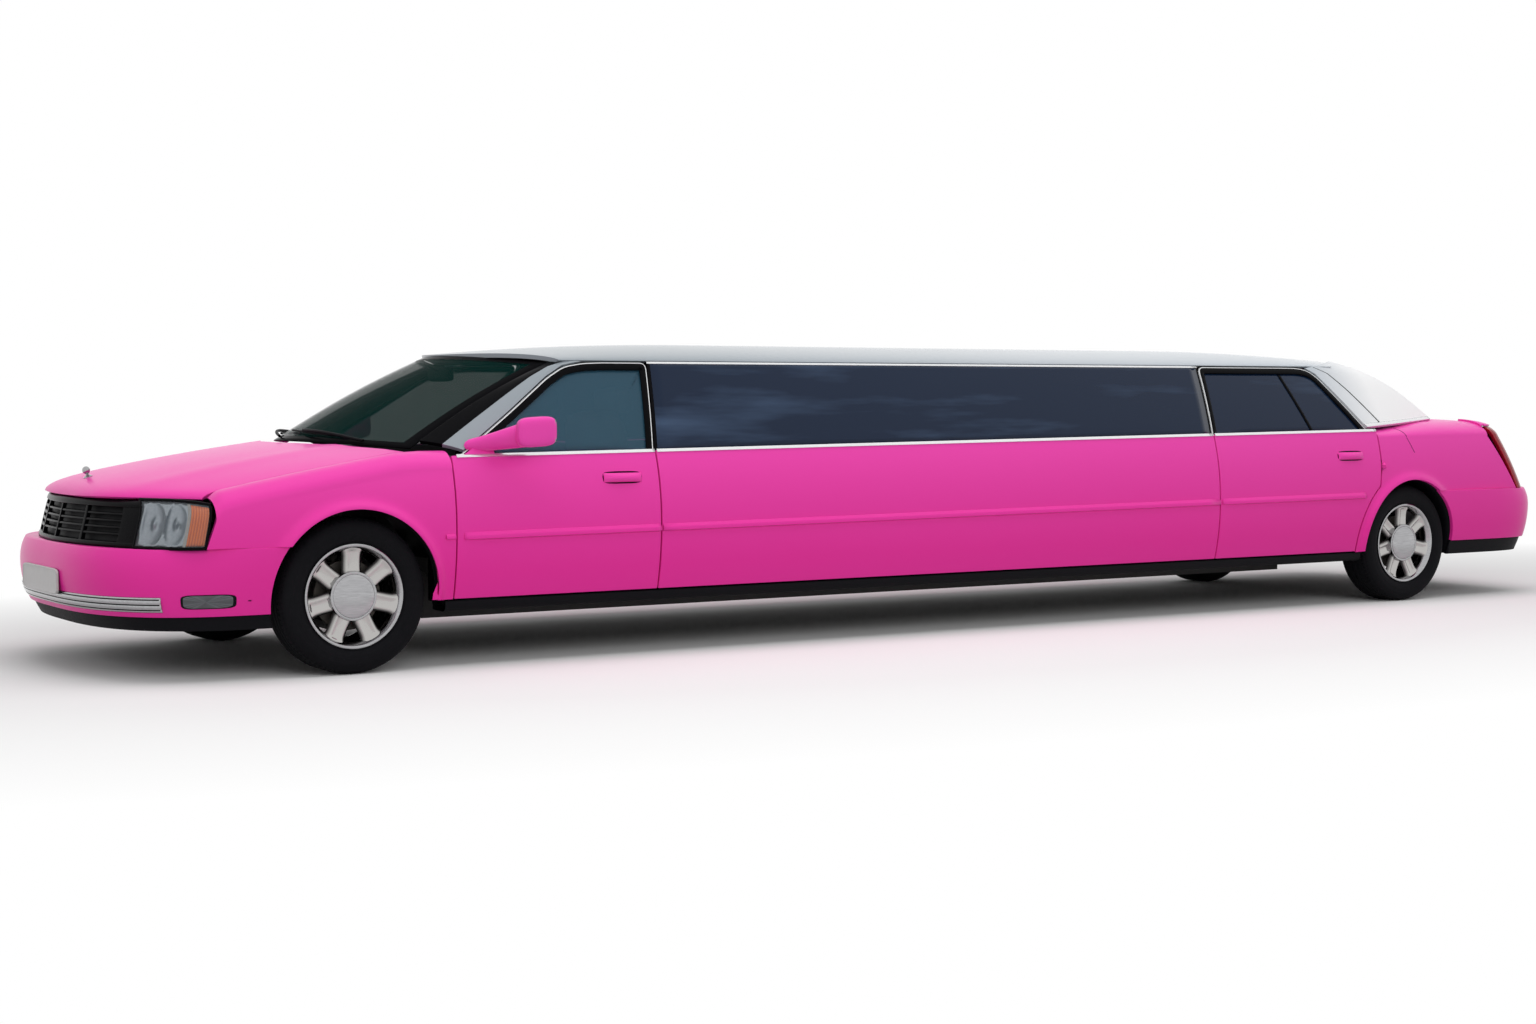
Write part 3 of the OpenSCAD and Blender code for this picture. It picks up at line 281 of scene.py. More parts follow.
BLACK_TRIM = finish("black_trim", "black_trim", grain(srgb(8, 8, 11), srgb(18, 18, 22), 900, 0.42, 0.2, 0.0003),
                    Specular_IOR_Level=0.08)
GLOSS_BLACK = finish("gloss_black", "black_trim", grain(srgb(5, 5, 7), srgb(12, 12, 15), 700, 0.16, 0.14, 0.0001),
                     Specular_IOR_Level=0.04)
RUBBER = finish("tyre_rubber", "tyre", grain(srgb(11, 11, 14), srgb(24, 24, 27), 500, 0.6, 0.2, 0.0004),
                Specular_IOR_Level=0.08)
CHASSIS = finish("chassis_coat", "chassis", grain(srgb(28, 29, 31), srgb(52, 50, 48), 160, 0.6, 0.25, 0.0008))
IRON = finish("cast_iron", "iron", grain(srgb(70, 68, 66), srgb(104, 98, 92), 220, 0.45, 0.3, 0.0008), Metallic=0.85)
PIPE = finish("pipe_steel", "chassis", polished(srgb(120, 118, 116), srgb(160, 156, 150), 0.3, 0.3), Metallic=1.0)
CHROME = finish("chrome", "chrome", polished(srgb(146, 146, 148), srgb(188, 188, 190), 0.07, 0.1), Metallic=1.0)
SPOKE = finish("spoke_chrome", "chrome", spoke_chrome, Metallic=1.0)
BRIGHT_LINE = finish("bright_line", "chrome", polished(srgb(224, 226, 228), srgb(244, 245, 246), 0.12, 0.12),
                     Metallic=0.75)
INSIDE_TRIM = finish("inside_trim", "inside_trim", grain(srgb(28, 29, 32), srgb(46, 46, 50), 700, 0.5, 0.2, 0.0005))

# %% [markdown]
# ## Glass and lamp finishes
# Car glass is a thin tinted sheet. Tracing light through a solid pane is slow and noisy, so the pane lets light pass
# by its alpha and keeps a sharp reflection. A black printed border hides the glue along the windscreen's edges.

# %% Glass finishes
PRINT_BLACK = (0.006, 0.006, 0.007)


def edge_band(uv, across_u, across_v):
    """1 within a border of the pane, given as shares of its two directions, and 0 inside it."""
    u, v = uv.axis("X"), uv.axis("Y")
    return (u.below(across_u) + (1 - u).below(across_u) + v.below(across_v) + (1 - v).below(across_v)).clip()


def tinted(colour, deep, alpha, border_u=0.0, border_v=0.0):
    """A pane of that tint; its alpha rises to 1 under the printed border."""
    def paint_it(place, uv):
        border = edge_band(uv, border_u, border_v)
        haze = place.noise(1.4, 3)
        return {"Base_Color": border.tint(haze.tint(deep, colour), PRINT_BLACK),
                "Alpha": alpha + (1 - alpha) * border,
                "Roughness": 0.02 + 0.03 * haze}
    return paint_it


def cloudy_tint(place, uv):
    """Privacy glass: a deep navy film with soft paler streaks along the car, nearly opaque."""
    streak = ((place.stretch((0.5, 1, 4.2)).noise(1.6, 4, 0.55) - 0.52) * 3.2).clip()
    return {"Base_Color": streak.tint(srgb(18, 34, 58), srgb(62, 82, 110)), "Roughness": 0.03 + 0.03 * streak,
            "Alpha": 0.965 + 0.02 * streak}


SCREEN_GLASS = finish("screen_glass", "clear_glass", tinted(srgb(10, 52, 48), srgb(5, 34, 31), 0.46, 0.045, 0.035),
                      IOR=1.04, Specular_IOR_Level=0.5)
DOOR_GLASS = finish("door_glass", "clear_glass", tinted(srgb(56, 98, 118), srgb(40, 74, 94), 0.66),
                    Specular_IOR_Level=0.3)
DARK_GLASS = finish("dark_glass", "dark_glass", cloudy_tint, Specular_IOR_Level=0.2)
LENS = finish("lamp_lens", "lamp", tinted(srgb(190, 198, 204), srgb(170, 178, 186), 0.08), IOR=1.15)
print("glass:", SCREEN_GLASS.name, DOOR_GLASS.name, DARK_GLASS.name, LENS.name)


# %% Lamp, plate and seat finishes
def ribbed(dark, light, count, height):
    """Moulded plastic with upright ribs: a wave across the piece tints it and lifts its surface."""
    def paint_it(place, uv):
        wave = (uv.axis("X") * (2 * pi * count)).sine() * 0.5 + 0.5
        return {"Base_Color": wave.tint(dark, light), "Roughness": 0.12 + 0.1 * wave,
                "Normal": wave.bump(0.4, height)}
    return paint_it


def leather_hide(place, uv):
    """Fine cells of a hide as bump, over a colour that is worn unevenly."""
    cells = place.node("ShaderNodeTexVoronoi", {"feature": "DISTANCE_TO_EDGE"}, {"Vector": place, "Scale": 260.0})
    worn = place.noise(6, 4)
    return {"Base_Color": worn.tint(srgb(122, 114, 104), srgb(152, 143, 132)), "Roughness": 0.42 + 0.2 * worn,
            "Normal": cells.bump(0.4, 0.0008)}


AMBER = finish("amber_lens", "lamp", ribbed(srgb(176, 74, 20), srgb(212, 108, 40), 7, 0.0012), Specular_IOR_Level=0.2)
REFLECTOR = finish("lamp_reflector", "chrome", polished(srgb(118, 125, 131), srgb(164, 170, 176), 0.3, 0.1),
                   Metallic=1.0)
RED_LENS = finish("tail_lens", "tail_lamp", ribbed(srgb(128, 6, 26), srgb(170, 18, 42), 9, 0.0012),
                  Specular_IOR_Level=0.2)
SMOKED_LENS = finish("bumper_lamp_lens", "lamp", ribbed(srgb(56, 61, 66), srgb(82, 88, 93), 12, 0.0008),
                     Coat_Weight=0.5)
PLATE = finish("blank_plate", "plate", grain(srgb(180, 177, 177), srgb(198, 196, 196), 500, 0.3, 0.15, 0.0002))
LEATHER = finish("seat_leather", "seat", leather_hide)

# %% [markdown]
# ## From formulas to meshes
# A surface here is a grid: an array of points over two shares, u and v. Its quads are found by shifting the array
# of indices by one, so no loop visits the points. Solidify gives a panel its wall, on the inner side of its skin.

# %% Shares and grids
MM = 0.001


def mix(a, b, t):
    """A plain blend: a where t is 0, b where t is 1."""
    return a + (b - a) * t


def share(x, a, b):
    """How far x has come from a to b, kept between 0 and 1."""
    return np.clip((x - a) / (b - a), 0, 1)


def ease(t):
    """A share that starts and ends gently: 3t^2 - 2t^3."""
    c = np.clip(t, 0, 1)
    return c * c * (3 - 2 * c)


def shares(nu, nv):
    """Two arrays of shares over a grid of nu by nv cells."""
    return np.meshgrid(np.linspace(0, 1, nu + 1), np.linspace(0, 1, nv + 1), indexing="ij")


def round_angles(count):
    """Angles once round a circle, as a column."""
    return np.linspace(0, 2 * pi, count, endpoint=False)[:, None]


def signed_power(s, power):
    """A power that keeps the sign: it squares up or rounds off a sine or cosine."""
    return np.sign(s) * np.abs(s) ** power


def points(x, y, z):
    """Three arrays as one array of points."""
    return np.stack(np.broadcast_arrays(x, y, z), -1).astype(float)


def other_side(sheet):
    """A sheet mirrored to the right side; v runs backwards so that its faces still point outwards."""
    return sheet[:, ::-1] * (1, -1, 1)


def both(*sheets):
    """Each sheet and its mirror image."""
    return [side for sheet in sheets for side in (sheet, other_side(sheet))]


print("a grid of 2 by 3 cells has", shares(2, 3)[0].size, "points")

# %% Meshes
def cell_corners(a):
    """The four corners of each cell of a grid, in order: (i, j), (i+1, j), (i+1, j+1), (i, j+1)."""
    return np.stack([a[:-1, :-1], a[1:, :-1], a[1:, 1:], a[:-1, 1:]], 2)


def mesh_from(name, sheets, wrap_u, wrap_v, weld):
    """One mesh from several grids, with u and v as its UV map. A wrapped grid closes on its own first row.

    With weld, corners of different grids that lie in one place become one, so the grids join without a seam."""
    places, quads, corners, count = [], [], [], 0
    for sheet in sheets:
        nu, nv = sheet.shape[:2]
        index = count + np.arange(nu * nv).reshape(nu, nv)
        if wrap_u:
            index = np.vstack([index, index[:1]])
        if wrap_v:
            index = np.hstack([index, index[:, :1]])
        uv = np.stack(shares(index.shape[0] - 1, index.shape[1] - 1), -1)
        quads.append(cell_corners(index).reshape(-1, 4))
        corners.append(cell_corners(uv).reshape(-1, 2))
        places.append(sheet.reshape(-1, 3))
        count += nu * nv
    places, quads, corners = (np.concatenate(part) for part in (places, quads, corners))
    if weld:
        _, first, same = np.unique(places.round(3), axis=0, return_index=True, return_inverse=True)
        places, quads = places[first], same.reshape(-1)[quads]
    mesh = bpy.data.meshes.new(name)
    mesh.vertices.add(len(places))
    mesh.vertices.foreach_set("co", (places * MM).astype(np.float32).ravel())
    mesh.loops.add(quads.size)
    mesh.loops.foreach_set("vertex_index", quads.astype(np.int32).ravel())
    mesh.polygons.add(len(quads))
    mesh.polygons.foreach_set("loop_start", np.arange(0, quads.size, 4, dtype=np.int32))
    mesh.polygons.foreach_set("use_smooth", np.ones(len(quads), bool))
    mesh.uv_layers.new(name="UVMap").data.foreach_set("uv", corners.astype(np.float32).ravel())
    mesh.update(calc_edges=True)
    mesh.validate()
    return mesh


print("meshes are made from grids of quads")


def piece(name, sheets, material, wall=0.0, edge=0.0, body="car_body", stands_for=None, slot=None, wrap_u=False,
          wrap_v=False, sharp=50, inner=None, weld=False):
    """A finished piece: grids to mesh, a wall behind the skin, rounded edges, and the body that it rides on.

    Its slot argument is not used. It may stand for a CAD node."""
    obj = bpy.data.objects.new(name, mesh_from(name, sheets, wrap_u, wrap_v, weld))
    scene.collection.objects.link(obj)
    obj.data.materials.append(material)
    if wall:
        thick = obj.modifiers.new("wall", "SOLIDIFY")
        thick.thickness = wall * MM
        thick.offset = -1
        thick.use_quality_normals = True
        if inner:
            obj.data.materials.append(inner)
            thick.material_offset = 1
    if edge:
        round_off = obj.modifiers.new("edge", "BEVEL")
        round_off.width = edge * MM
        round_off.segments = 2
        round_off.limit_method = "ANGLE"
        round_off.angle_limit = radians(sharp)
        obj.modifiers.new("shade", "WEIGHTED_NORMAL")
    else:
        obj.data.set_sharp_from_angle(angle=radians(sharp))
    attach(obj, body)
    if stands_for:
        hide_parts(stands_for)
    print(f"{name}: {len(obj.data.polygons)} quads on {body}")
    return obj


SIDES = {"left": lambda sheet: sheet, "right": other_side}


def on_doors(place, name, sheet, material, wall=0.0, edge=0.0, stands_for=None, **more):
    """A piece on the left door at the front or the rear, and its mirror image on the right door."""
    for side, turn in SIDES.items():
        piece(f"{name}_{side}", [turn(sheet)], material, wall, edge, f"door_{place}_{side}",
              stands_for and f"{stands_for}_{side}", **more)


# %% [markdown]
# ## The car's main lines
# Every panel follows a few lines that run along the car: the widest line of the flank, the window line, the side's
# curve from sill to window, and the lean of the glass. They are the same formulas as in the solids.

# %% Main sizes
FA, FRONT_Y, TYRE_R = (value / MM for value in hinge["spin_front_left"])
RA, REAR_Y = (value / MM for value in hinge["spin_rear_left"][:2])
FRONT_OVERHANG = cad_box[1][0] / MM - FA
REAR_OVERHANG = RA - cad_box[0][0] / MM
HALF_W, SILL_Z, WAIST_Z, BELT_FRONT, BELT_REAR = 945, 302, 600, 928, 990
RAIL_Z, ROOF_Z, DECK_Z, GAP = 1350, 1440, 1034, 7.5
BELT_INSET, RAIL_INSET, GLASS_STEP = 58, 275, 12
FRONT_ARCH_R, REAR_ARCH_R = 374, 368
DOOR_SETBACK, QUARTER_LEAD = 456, 250
DOOR_LEAD = FA - DOOR_SETBACK
DOOR_TRAIL = FA - 1485
REAR_DOOR_LEAD = RA + 1510
REAR_DOOR_TRAIL = RA + QUARTER_LEAD
print("axles at", FA, RA, "overhangs", FRONT_OVERHANG, REAR_OVERHANG)

# %% Main lines
NOSE_TAPER, TAIL_TAPER, GLASS_TAPER = 45, 40, 70
SILL_TUCK, LIP_OUT, LIP_AT, LIP_WIDE = 40, 20, 6, 27


def flank(x):
    """Half-width of the widest line: constant along the doors, narrowing with the square towards both ends."""
    nose = np.maximum(0, x - DOOR_LEAD) / (FRONT_OVERHANG + DOOR_SETBACK)
    tail = np.maximum(0, REAR_DOOR_TRAIL - x) / (REAR_OVERHANG + QUARTER_LEAD)
    return HALF_W - NOSE_TAPER * nose ** 2 - TAIL_TAPER * tail ** 2


def belt_z(x):
    """Window line, rising evenly from the front door to the tail."""
    return mix(BELT_FRONT, BELT_REAR, share(x, DOOR_LEAD, REAR_DOOR_TRAIL))


def side_y(x, z):
    """Body side: tucked in below the waist by a square, and above it by a power of 2.2."""
    low = SILL_TUCK * (np.maximum(0, WAIST_Z - z) / (WAIST_Z - SILL_Z)) ** 2
    high = BELT_INSET * (np.maximum(0, z - WAIST_Z) / (belt_z(x) - WAIST_Z)) ** 2.2
    return flank(x) - low - high


def glass_y(x, z):
    """Side windows: leaning in towards the roof rail, a little curved, and narrowing towards the tail."""
    s = (z - belt_z(x)) / (RAIL_Z - belt_z(x))
    tail = np.maximum(0, REAR_DOOR_TRAIL + QUARTER_LEAD - x) / REAR_OVERHANG
    lean = (RAIL_INSET - BELT_INSET - GLASS_STEP) * s * (0.85 + 0.15 * s)
    return flank(x) - BELT_INSET - GLASS_STEP - lean - GLASS_TAPER * tail ** 2


def flare(x, z):
    """A soft lip round each wheel arch: a bell curve of the distance from the arch's edge, 20 mm high."""
    bell = lambda axle_x, arch_r: np.exp(-((np.hypot(x - axle_x, z - TYRE_R) - arch_r - LIP_AT) / LIP_WIDE) ** 2)
    return LIP_OUT * (bell(FA, FRONT_ARCH_R) + bell(RA, REAR_ARCH_R))


def on_side(x, z, out=0):
    """Points on the body side, moved out by a distance."""
    return points(x, side_y(x, z) + out, z)


def on_glass(x, z, out=0):
    """Points on the side windows, moved out by a distance."""
    return points(x, glass_y(x, z) + out, z)


print("half-width at the front axle", round(float(flank(FA)), 1), "and at the rear axle", round(float(flank(RA)), 1))

# %% Broken lines
def along(line, u):
    """Points on a broken line; u counts its corners evenly."""
    line = np.asarray(line, float)
    k = np.linspace(0, 1, len(line))
    return np.interp(u, k, line[:, 0]), np.interp(u, k, line[:, 1])


def beside(line, d):
    """A broken line moved sideways by d, to the left of its direction."""
    line = np.asarray(line, float)
    ahead = np.vstack([line[1:], line[-1:]]) - np.vstack([line[:1], line[:-1]])
    ahead /= np.linalg.norm(ahead, axis=1, keepdims=True)
    return line + d * np.stack([-ahead[:, 1], ahead[:, 0]], -1)


def rounded(line, count, soft):
    """A broken line with its corners rounded: evenly spaced points, each averaged with its neighbours."""
    step = np.r_[0, np.cumsum(np.linalg.norm(np.diff(line, axis=0), axis=1))]
    even = np.linspace(0, step[-1], count)
    fine = np.stack([np.interp(even, step, line[:, 0]), np.interp(even, step, line[:, 1])], -1)
    before, after = 2 * fine[0] - fine[soft:0:-1], 2 * fine[-1] - fine[-2:-soft - 2:-1]
    padded = np.vstack([before, fine, after])
    kernel = np.ones(2 * soft + 1) / (2 * soft + 1)
    return np.stack([np.convolve(padded[:, k], kernel, "valid") for k in (0, 1)], -1)


def rim_tube(line, radius):
    """A round cord along a line of points: two directions across it are found from its own tangent."""
    ahead = np.gradient(line, axis=0)
    ahead /= np.linalg.norm(ahead, axis=1, keepdims=True)
    side = np.cross(ahead, (0.0, 0.0, 1.0)) + 1e-9
    side /= np.linalg.norm(side, axis=1, keepdims=True)
    top = np.cross(side, ahead)
    a = round_angles(12)
    return line[:, None] + radius * (np.cos(a) * side[:, None] + np.sin(a) * top[:, None])


print("a corner rounded to", len(rounded(np.array([[0, 0], [100, 0], [100, 100]]), 20, 2)), "points")

# %% [markdown]
# ## Front wings
# A wing's lower edge follows the bumper, the wheel arch and the sill. The surface is ruled from that edge up to the
# shoulder, which rolls over as a quarter ellipse to the hood's gap. Ruling it this way keeps the arch a true circle.

# %% Lines of the wing and the hood
HOOD_REACH = FRONT_OVERHANG - 110
HOOD_HALF_W, HOOD_LOW, HOOD_RISE, HOOD_RUN = 800, 785, 203, 1085
FALL_REAR, FALL_FRONT = 52, 100
BUMPER_TOP, BUMPER_BASE, SEAT_GAP = 560, 276, 0.3
SIDE_SHARE, WING_ROLL, LIP_DROP = 0.7, 90, 24
ARCH_FROM, ARCH_TO, EDGE_STEPS = 4, 14, 17
TIP_LOW, TIP_TOP = 655, 612


def hood_z(x, y):
    """Hood: a power curve rising from the grille to the windscreen, falling to both sides by a power of 2.5."""
    line = HOOD_LOW + HOOD_RISE * np.minimum(1.1, np.maximum(0, FA + HOOD_REACH - x) / HOOD_RUN) ** 0.62
    fall = mix(FALL_REAR, FALL_FRONT, share(x, FA - 333, FA + 620))
    return line - fall * (np.abs(y) / HOOD_HALF_W) ** 2.5


def shoulder(x, s, inner_y, top_z, t):
    """Quarter ellipse from the side at height s (t = 0) to an inner edge on top (t = 1)."""
    return points(x, inner_y + (side_y(x, s) - inner_y) * np.cos(pi / 2 * t), s + (top_z - s) * np.sin(pi / 2 * t))


def wing_edge(u):
    """Level above the bumper, then round the arch by angle, then level along the sill; 17 steps in all."""
    first = np.arcsin((BUMPER_TOP + SEAT_GAP - TYRE_R) / FRONT_ARCH_R)
    last = pi - np.arcsin((SILL_Z - TYRE_R) / FRONT_ARCH_R)
    k = EDGE_STEPS * u
    angle = mix(first, last, share(k, ARCH_FROM, ARCH_TO))
    x, z = FA + FRONT_ARCH_R * np.cos(angle), TYRE_R + FRONT_ARCH_R * np.sin(angle)
    x = np.where(k < ARCH_FROM, mix(FA + TIP_LOW, x, k / ARCH_FROM), x)
    back = (k - ARCH_TO) / (EDGE_STEPS - ARCH_TO)
    return np.where(k > ARCH_TO, mix(x, DOOR_LEAD + GAP / 2, back), x), z


print("hood from", round(float(hood_z(FA + HOOD_REACH, 0))), "to", round(float(hood_z(FA - 275, 0))), "mm high")

# %% Front wings
low_rows, roll_rows = np.linspace(0, SIDE_SHARE, 19), np.linspace(SIDE_SHARE, 1, 13)
u, v = np.meshgrid(np.linspace(0, 1, EDGE_STEPS * 5 + 1), np.r_[low_rows, roll_rows[1:]], indexing="ij")
x = FA + np.interp(EDGE_STEPS * u, [0, ARCH_FROM, ARCH_TO, EDGE_STEPS], [TIP_TOP, 330, -395, DOOR_LEAD + GAP / 2 - FA])
top = hood_z(x, HOOD_HALF_W) - LIP_DROP * np.exp(-((FA + 622 - x) / 30) ** 2)
low_x, low_z = wing_edge(u)
t = np.minimum(1, v / SIDE_SHARE)
side_x, side_z = mix(low_x, x, t), mix(low_z, top - WING_ROLL, t)
wing_side = on_side(side_x, side_z, flare(side_x, side_z) * share(side_x, DOOR_LEAD, DOOR_LEAD + 60))
wing_roll = shoulder(x, top - WING_ROLL, HOOD_HALF_W + GAP, top, share(v, SIDE_SHARE, 1))
wing = np.where((v < SIDE_SHARE)[..., None], wing_side, wing_roll)
piece("front_wings", both(wing), PINK, 24, 3, stands_for="fenders")

# %% [markdown]
# ## Hood
# One pressed sheet, bowed at its front edge round the grille and at its rear edge round the windscreen. The sheet is
# a grid whose rows follow both bows, so the shut lines come out of the grid's own edges.

# %% Hood
u, v = shares(56, 56)
e = np.cos(pi * v)
front_x = FA + mix(HOOD_REACH, 632, np.abs(e) ** 3.4)
x = mix(front_x, FA - 5 - 270 * e * e, u ** 1.4)
y = HOOD_HALF_W * e
crease = 5 * np.exp(-((np.abs(y) - 470 - 90 * (1 - u)) / 60) ** 2) * ease(u * 3)
hood = points(x, y, hood_z(x, y) - LIP_DROP * (1 - u) ** 14 + crease)
piece("hood_sheet", [hood], PINK, 18, 3, "hood_panel", "hood")

# %% [markdown]
# The ornament is a turned piece: a profile of radius and height carried round its own axis. It is a plain ball on a
# stem, tilted with the hood.

# %% Hood ornament
BALL_R, BALL_Z = 17, 31
ball = np.linspace(-1.1, pi / 2, 14)
stem = [[20, -2], [20, 2], [16, 5], [9, 9], [6, 14]]
radius, height = np.vstack([stem, np.stack([BALL_R * np.cos(ball), BALL_Z + BALL_R * np.sin(ball)], -1)]).T
angle = round_angles(40)
ahead, aside, up = radius * np.cos(angle), radius * np.sin(angle), height + 0 * angle
ornament_x = FA + HOOD_REACH - 110
tilt = np.arctan((hood_z(ornament_x - 10, 0) - hood_z(ornament_x + 10, 0)) / 20)
ornament = points(ornament_x + ahead * np.cos(tilt) + up * np.sin(tilt), aside,
                  hood_z(ornament_x, 0) + up * np.cos(tilt) - ahead * np.sin(tilt))
piece("ornament_ball", [ornament], CHROME, body="hood_panel", stands_for="hood_ornament", wrap_u=True)

# %% [markdown]
# ## Door skins and the stretched side
# The side between the wings is one continuous surface cut by the door gaps. Each panel takes its own stretch of that
# surface, so highlights run unbroken from the front door to the tail.

# %% Side panels
DOOR_ARCH_R = REAR_ARCH_R + 60
DOOR_CORNER = 267
ARCH_LEAVE_Z = TYRE_R + np.sqrt(DOOR_ARCH_R ** 2 - DOOR_CORNER ** 2)


def rear_door_edge(z):
    """Trailing edge of the rear door: round the wheel arch, then nearly upright to the window line."""
    arch = np.sqrt(np.maximum(0, DOOR_ARCH_R ** 2 - (z - TYRE_R) ** 2))
    upright = mix(DOOR_CORNER, QUARTER_LEAD, share(z, ARCH_LEAVE_Z, ARCH_LEAVE_Z + 120))
    return RA + np.where(z < ARCH_LEAVE_Z, arch, upright)


def side_panel(x_from, x_to_at, nu, nv):
    """The body side from one station to another, which may depend on the height, and from sill to window line."""
    u, v = shares(nu, nv)
    x = mix(x_from, x_to_at(mix(SILL_Z, BELT_REAR, v)) + GAP / 2, u)
    return on_side(x, mix(SILL_Z, belt_z(x), v))


front_door = side_panel(DOOR_LEAD - GAP / 2, lambda z: DOOR_TRAIL, 36, 36)
rear_door = side_panel(REAR_DOOR_LEAD - GAP / 2, rear_door_edge, 40, 44)
stretch_side = side_panel(DOOR_TRAIL - GAP / 2, lambda z: REAR_DOOR_LEAD, 60, 30)
piece("stretch_sides", both(stretch_side), PINK, 26, 3, stands_for="mid_panels")
on_doors("front", "front_door_skin", front_door, PINK, 24, 3, "front_door")
on_doors("rear", "rear_door_skin", rear_door, PINK, 24, 3, "rear_door")

# %% [markdown]
# Inside each door is a trimmed card: it starts at the skin's rim and bulges into the cabin, with an armrest ridge.
# It is the same grid pushed inwards, with its faces turned round.

# %% Door cards
CARD_RIM, CARD_DEEP, ARMREST = 22, 100, 38


def door_card(skin):
    """The door's skin pushed inwards: 22 mm at the rim, 100 mm inside it, and 38 mm more along the armrest."""
    u, v = shares(skin.shape[0] - 1, skin.shape[1] - 1)
    rim = np.minimum(np.minimum(u, 1 - u) * 1.2, np.minimum(v, 1 - v))
    inside = ease(rim / 0.16)
    arm = ARMREST * np.exp(-((v - 0.66) / 0.05) ** 2 - ((u - 0.55) / 0.3) ** 4)
    return (skin - points(0, mix(CARD_RIM, CARD_DEEP, inside) + arm * inside, 0))[:, ::-1]


on_doors("front", "front_door_card", door_card(front_door), INSIDE_TRIM)
on_doors("rear", "rear_door_card", door_card(rear_door), INSIDE_TRIM)

# %% [markdown]
# ## Rear quarters
# The quarter runs from the rear door round the wheel arch to the tail lamp, and its shoulder rolls over to the deck.
# A narrow strip between the door's round edge and the arch belongs to it too. Both are grids by angle round the axle,
# welded where they meet.

# %% Lines of the quarter
QUARTER_S, DECK_HALF_W, REAR_BUMPER_TOP, REAR_BUMPER_BASE = 945, 662, 634, 336
LAMP_LEAD, LAMP_FOOT = REAR_OVERHANG - 544, REAR_OVERHANG - 324
ARCH_STRIP = 56
ARCH_FOOT = np.arcsin((SILL_Z - TYRE_R) / REAR_ARCH_R)
ARCH_LEAVE = np.arctan2(ARCH_LEAVE_Z - TYRE_R, DOOR_CORNER)
ARCH_END = pi - np.arcsin((REAR_BUMPER_TOP + SEAT_GAP - TYRE_R) / REAR_ARCH_R)


def round_arch(angle, r):
    """A point at a given angle and distance from the rear axle."""
    return RA + r * np.cos(angle), TYRE_R + r * np.sin(angle)


def quarter_skin(x, z):
    """The body side with the arch's lip, which fades out at the door's edge."""
    return on_side(x, z, flare(x, z) * share(rear_door_edge(z) - x, 4, 50))


def quarter_shoulder(x, back, t):
    """The quarter's rolled shoulder. Its inner edge goes from the window line to the deck's edge by a share."""
    to_deck = ease(back * 1.6)
    return shoulder(x, QUARTER_S, mix(DECK_HALF_W + 110, DECK_HALF_W, to_deck), mix(BELT_REAR, DECK_Z, to_deck), t)


print("quarter's arch from", round(np.degrees(ARCH_FOOT)), "to", round(np.degrees(ARCH_END)), "degrees")

# %% Rear quarters
rows = np.linspace(0, 1, 6)
u, v = np.meshgrid(np.linspace(0, 1, 37), rows, indexing="ij")
arch_strip = quarter_skin(*round_arch(mix(ARCH_FOOT, ARCH_LEAVE, u), REAR_ARCH_R + ARCH_STRIP * v))
ALONG = np.linspace(0, 1, 91)[:, None]
BACK = share(ALONG, 0.6, 1)
angle = mix(ARCH_LEAVE, ARCH_END, share(ALONG, 0, 0.6))
low_x, low_z = round_arch(angle, REAR_ARCH_R)
near_x, near_z = round_arch(angle, REAR_ARCH_R + ARCH_STRIP)
top_x = mix(REAR_DOOR_TRAIL - GAP / 2, RA - LAMP_LEAD, ALONG)
low_x = mix(low_x, RA - LAMP_FOOT, BACK)
near_end = RA - mix(LAMP_FOOT, LAMP_LEAD, share(near_z, low_z, QUARTER_S))
near_x = mix(near_x, near_end, BACK)
t = np.linspace(0, 1, 19)[1:]
side_z = mix(near_z, QUARTER_S, t)
side_x = mix(rear_door_edge(side_z) - GAP / 2, mix(near_x, top_x, t), ease(ALONG * 5))
quarter = np.concatenate([quarter_skin(mix(low_x, near_x, rows), mix(low_z, near_z, rows)),
                          quarter_skin(side_x, side_z),
                          quarter_shoulder(top_x, ALONG, np.linspace(0, 1, 13)[1:])], axis=1)
piece("quarter_panels", both(quarter, arch_strip), PINK, 24, 3, stands_for="rear_quarters", weld=True)
u, v = shares(2, 24)
tray = points(mix(RA - 446, RA - 494, u), mix(700, -700, v), DECK_Z - 12 + 10 * (1 - (1 - 2 * v) ** 2))
piece("deck_tray", [tray], PINK, 12, 3)

# %% [markdown]
# ## Bumpers and valances
# Seen from above, a bumper is a rounded box: a superellipse from one flank round to the other. The share w goes round
# that curve, and the height z sets how far the bumper bulges.

# %% Curves round the ends
NOSE = FRONT_OVERHANG - 10
NOSE_FULL_Z, NOSE_POWER = 450, 2.9
TAIL_FULL_Z, TAIL_BAND_POWER = 520, 5.6
LOW_SIDE_Z = SILL_Z - 40


def end_plan(w, start, reach, wide, power):
    """Superellipse in plan: |cos|^p ahead and |sin|^p to the side, with p = 2 / power; w runs from left to right."""
    a = pi * w - pi / 2
    return (start + (reach - start) * np.abs(np.cos(a)) ** (2 / power),
            -np.sign(a) * wide * np.abs(np.sin(a)) ** (2 / power))


def end_share(y, wide, power):
    """The share w at which the curve reaches a given distance from the car's middle."""
    return 0.5 - np.arcsin(np.minimum(1, y / wide) ** (power / 2)) / pi


def bulge(z, low, mid, high, under, over):
    """How far the bumper lies back from its fullest height, below by a square and above by a power of 2.5."""
    below, above = np.maximum(0, mid - z) / (mid - low), np.maximum(0, z - mid) / (high - mid)
    return under * below ** 2 + over * above ** 2.5


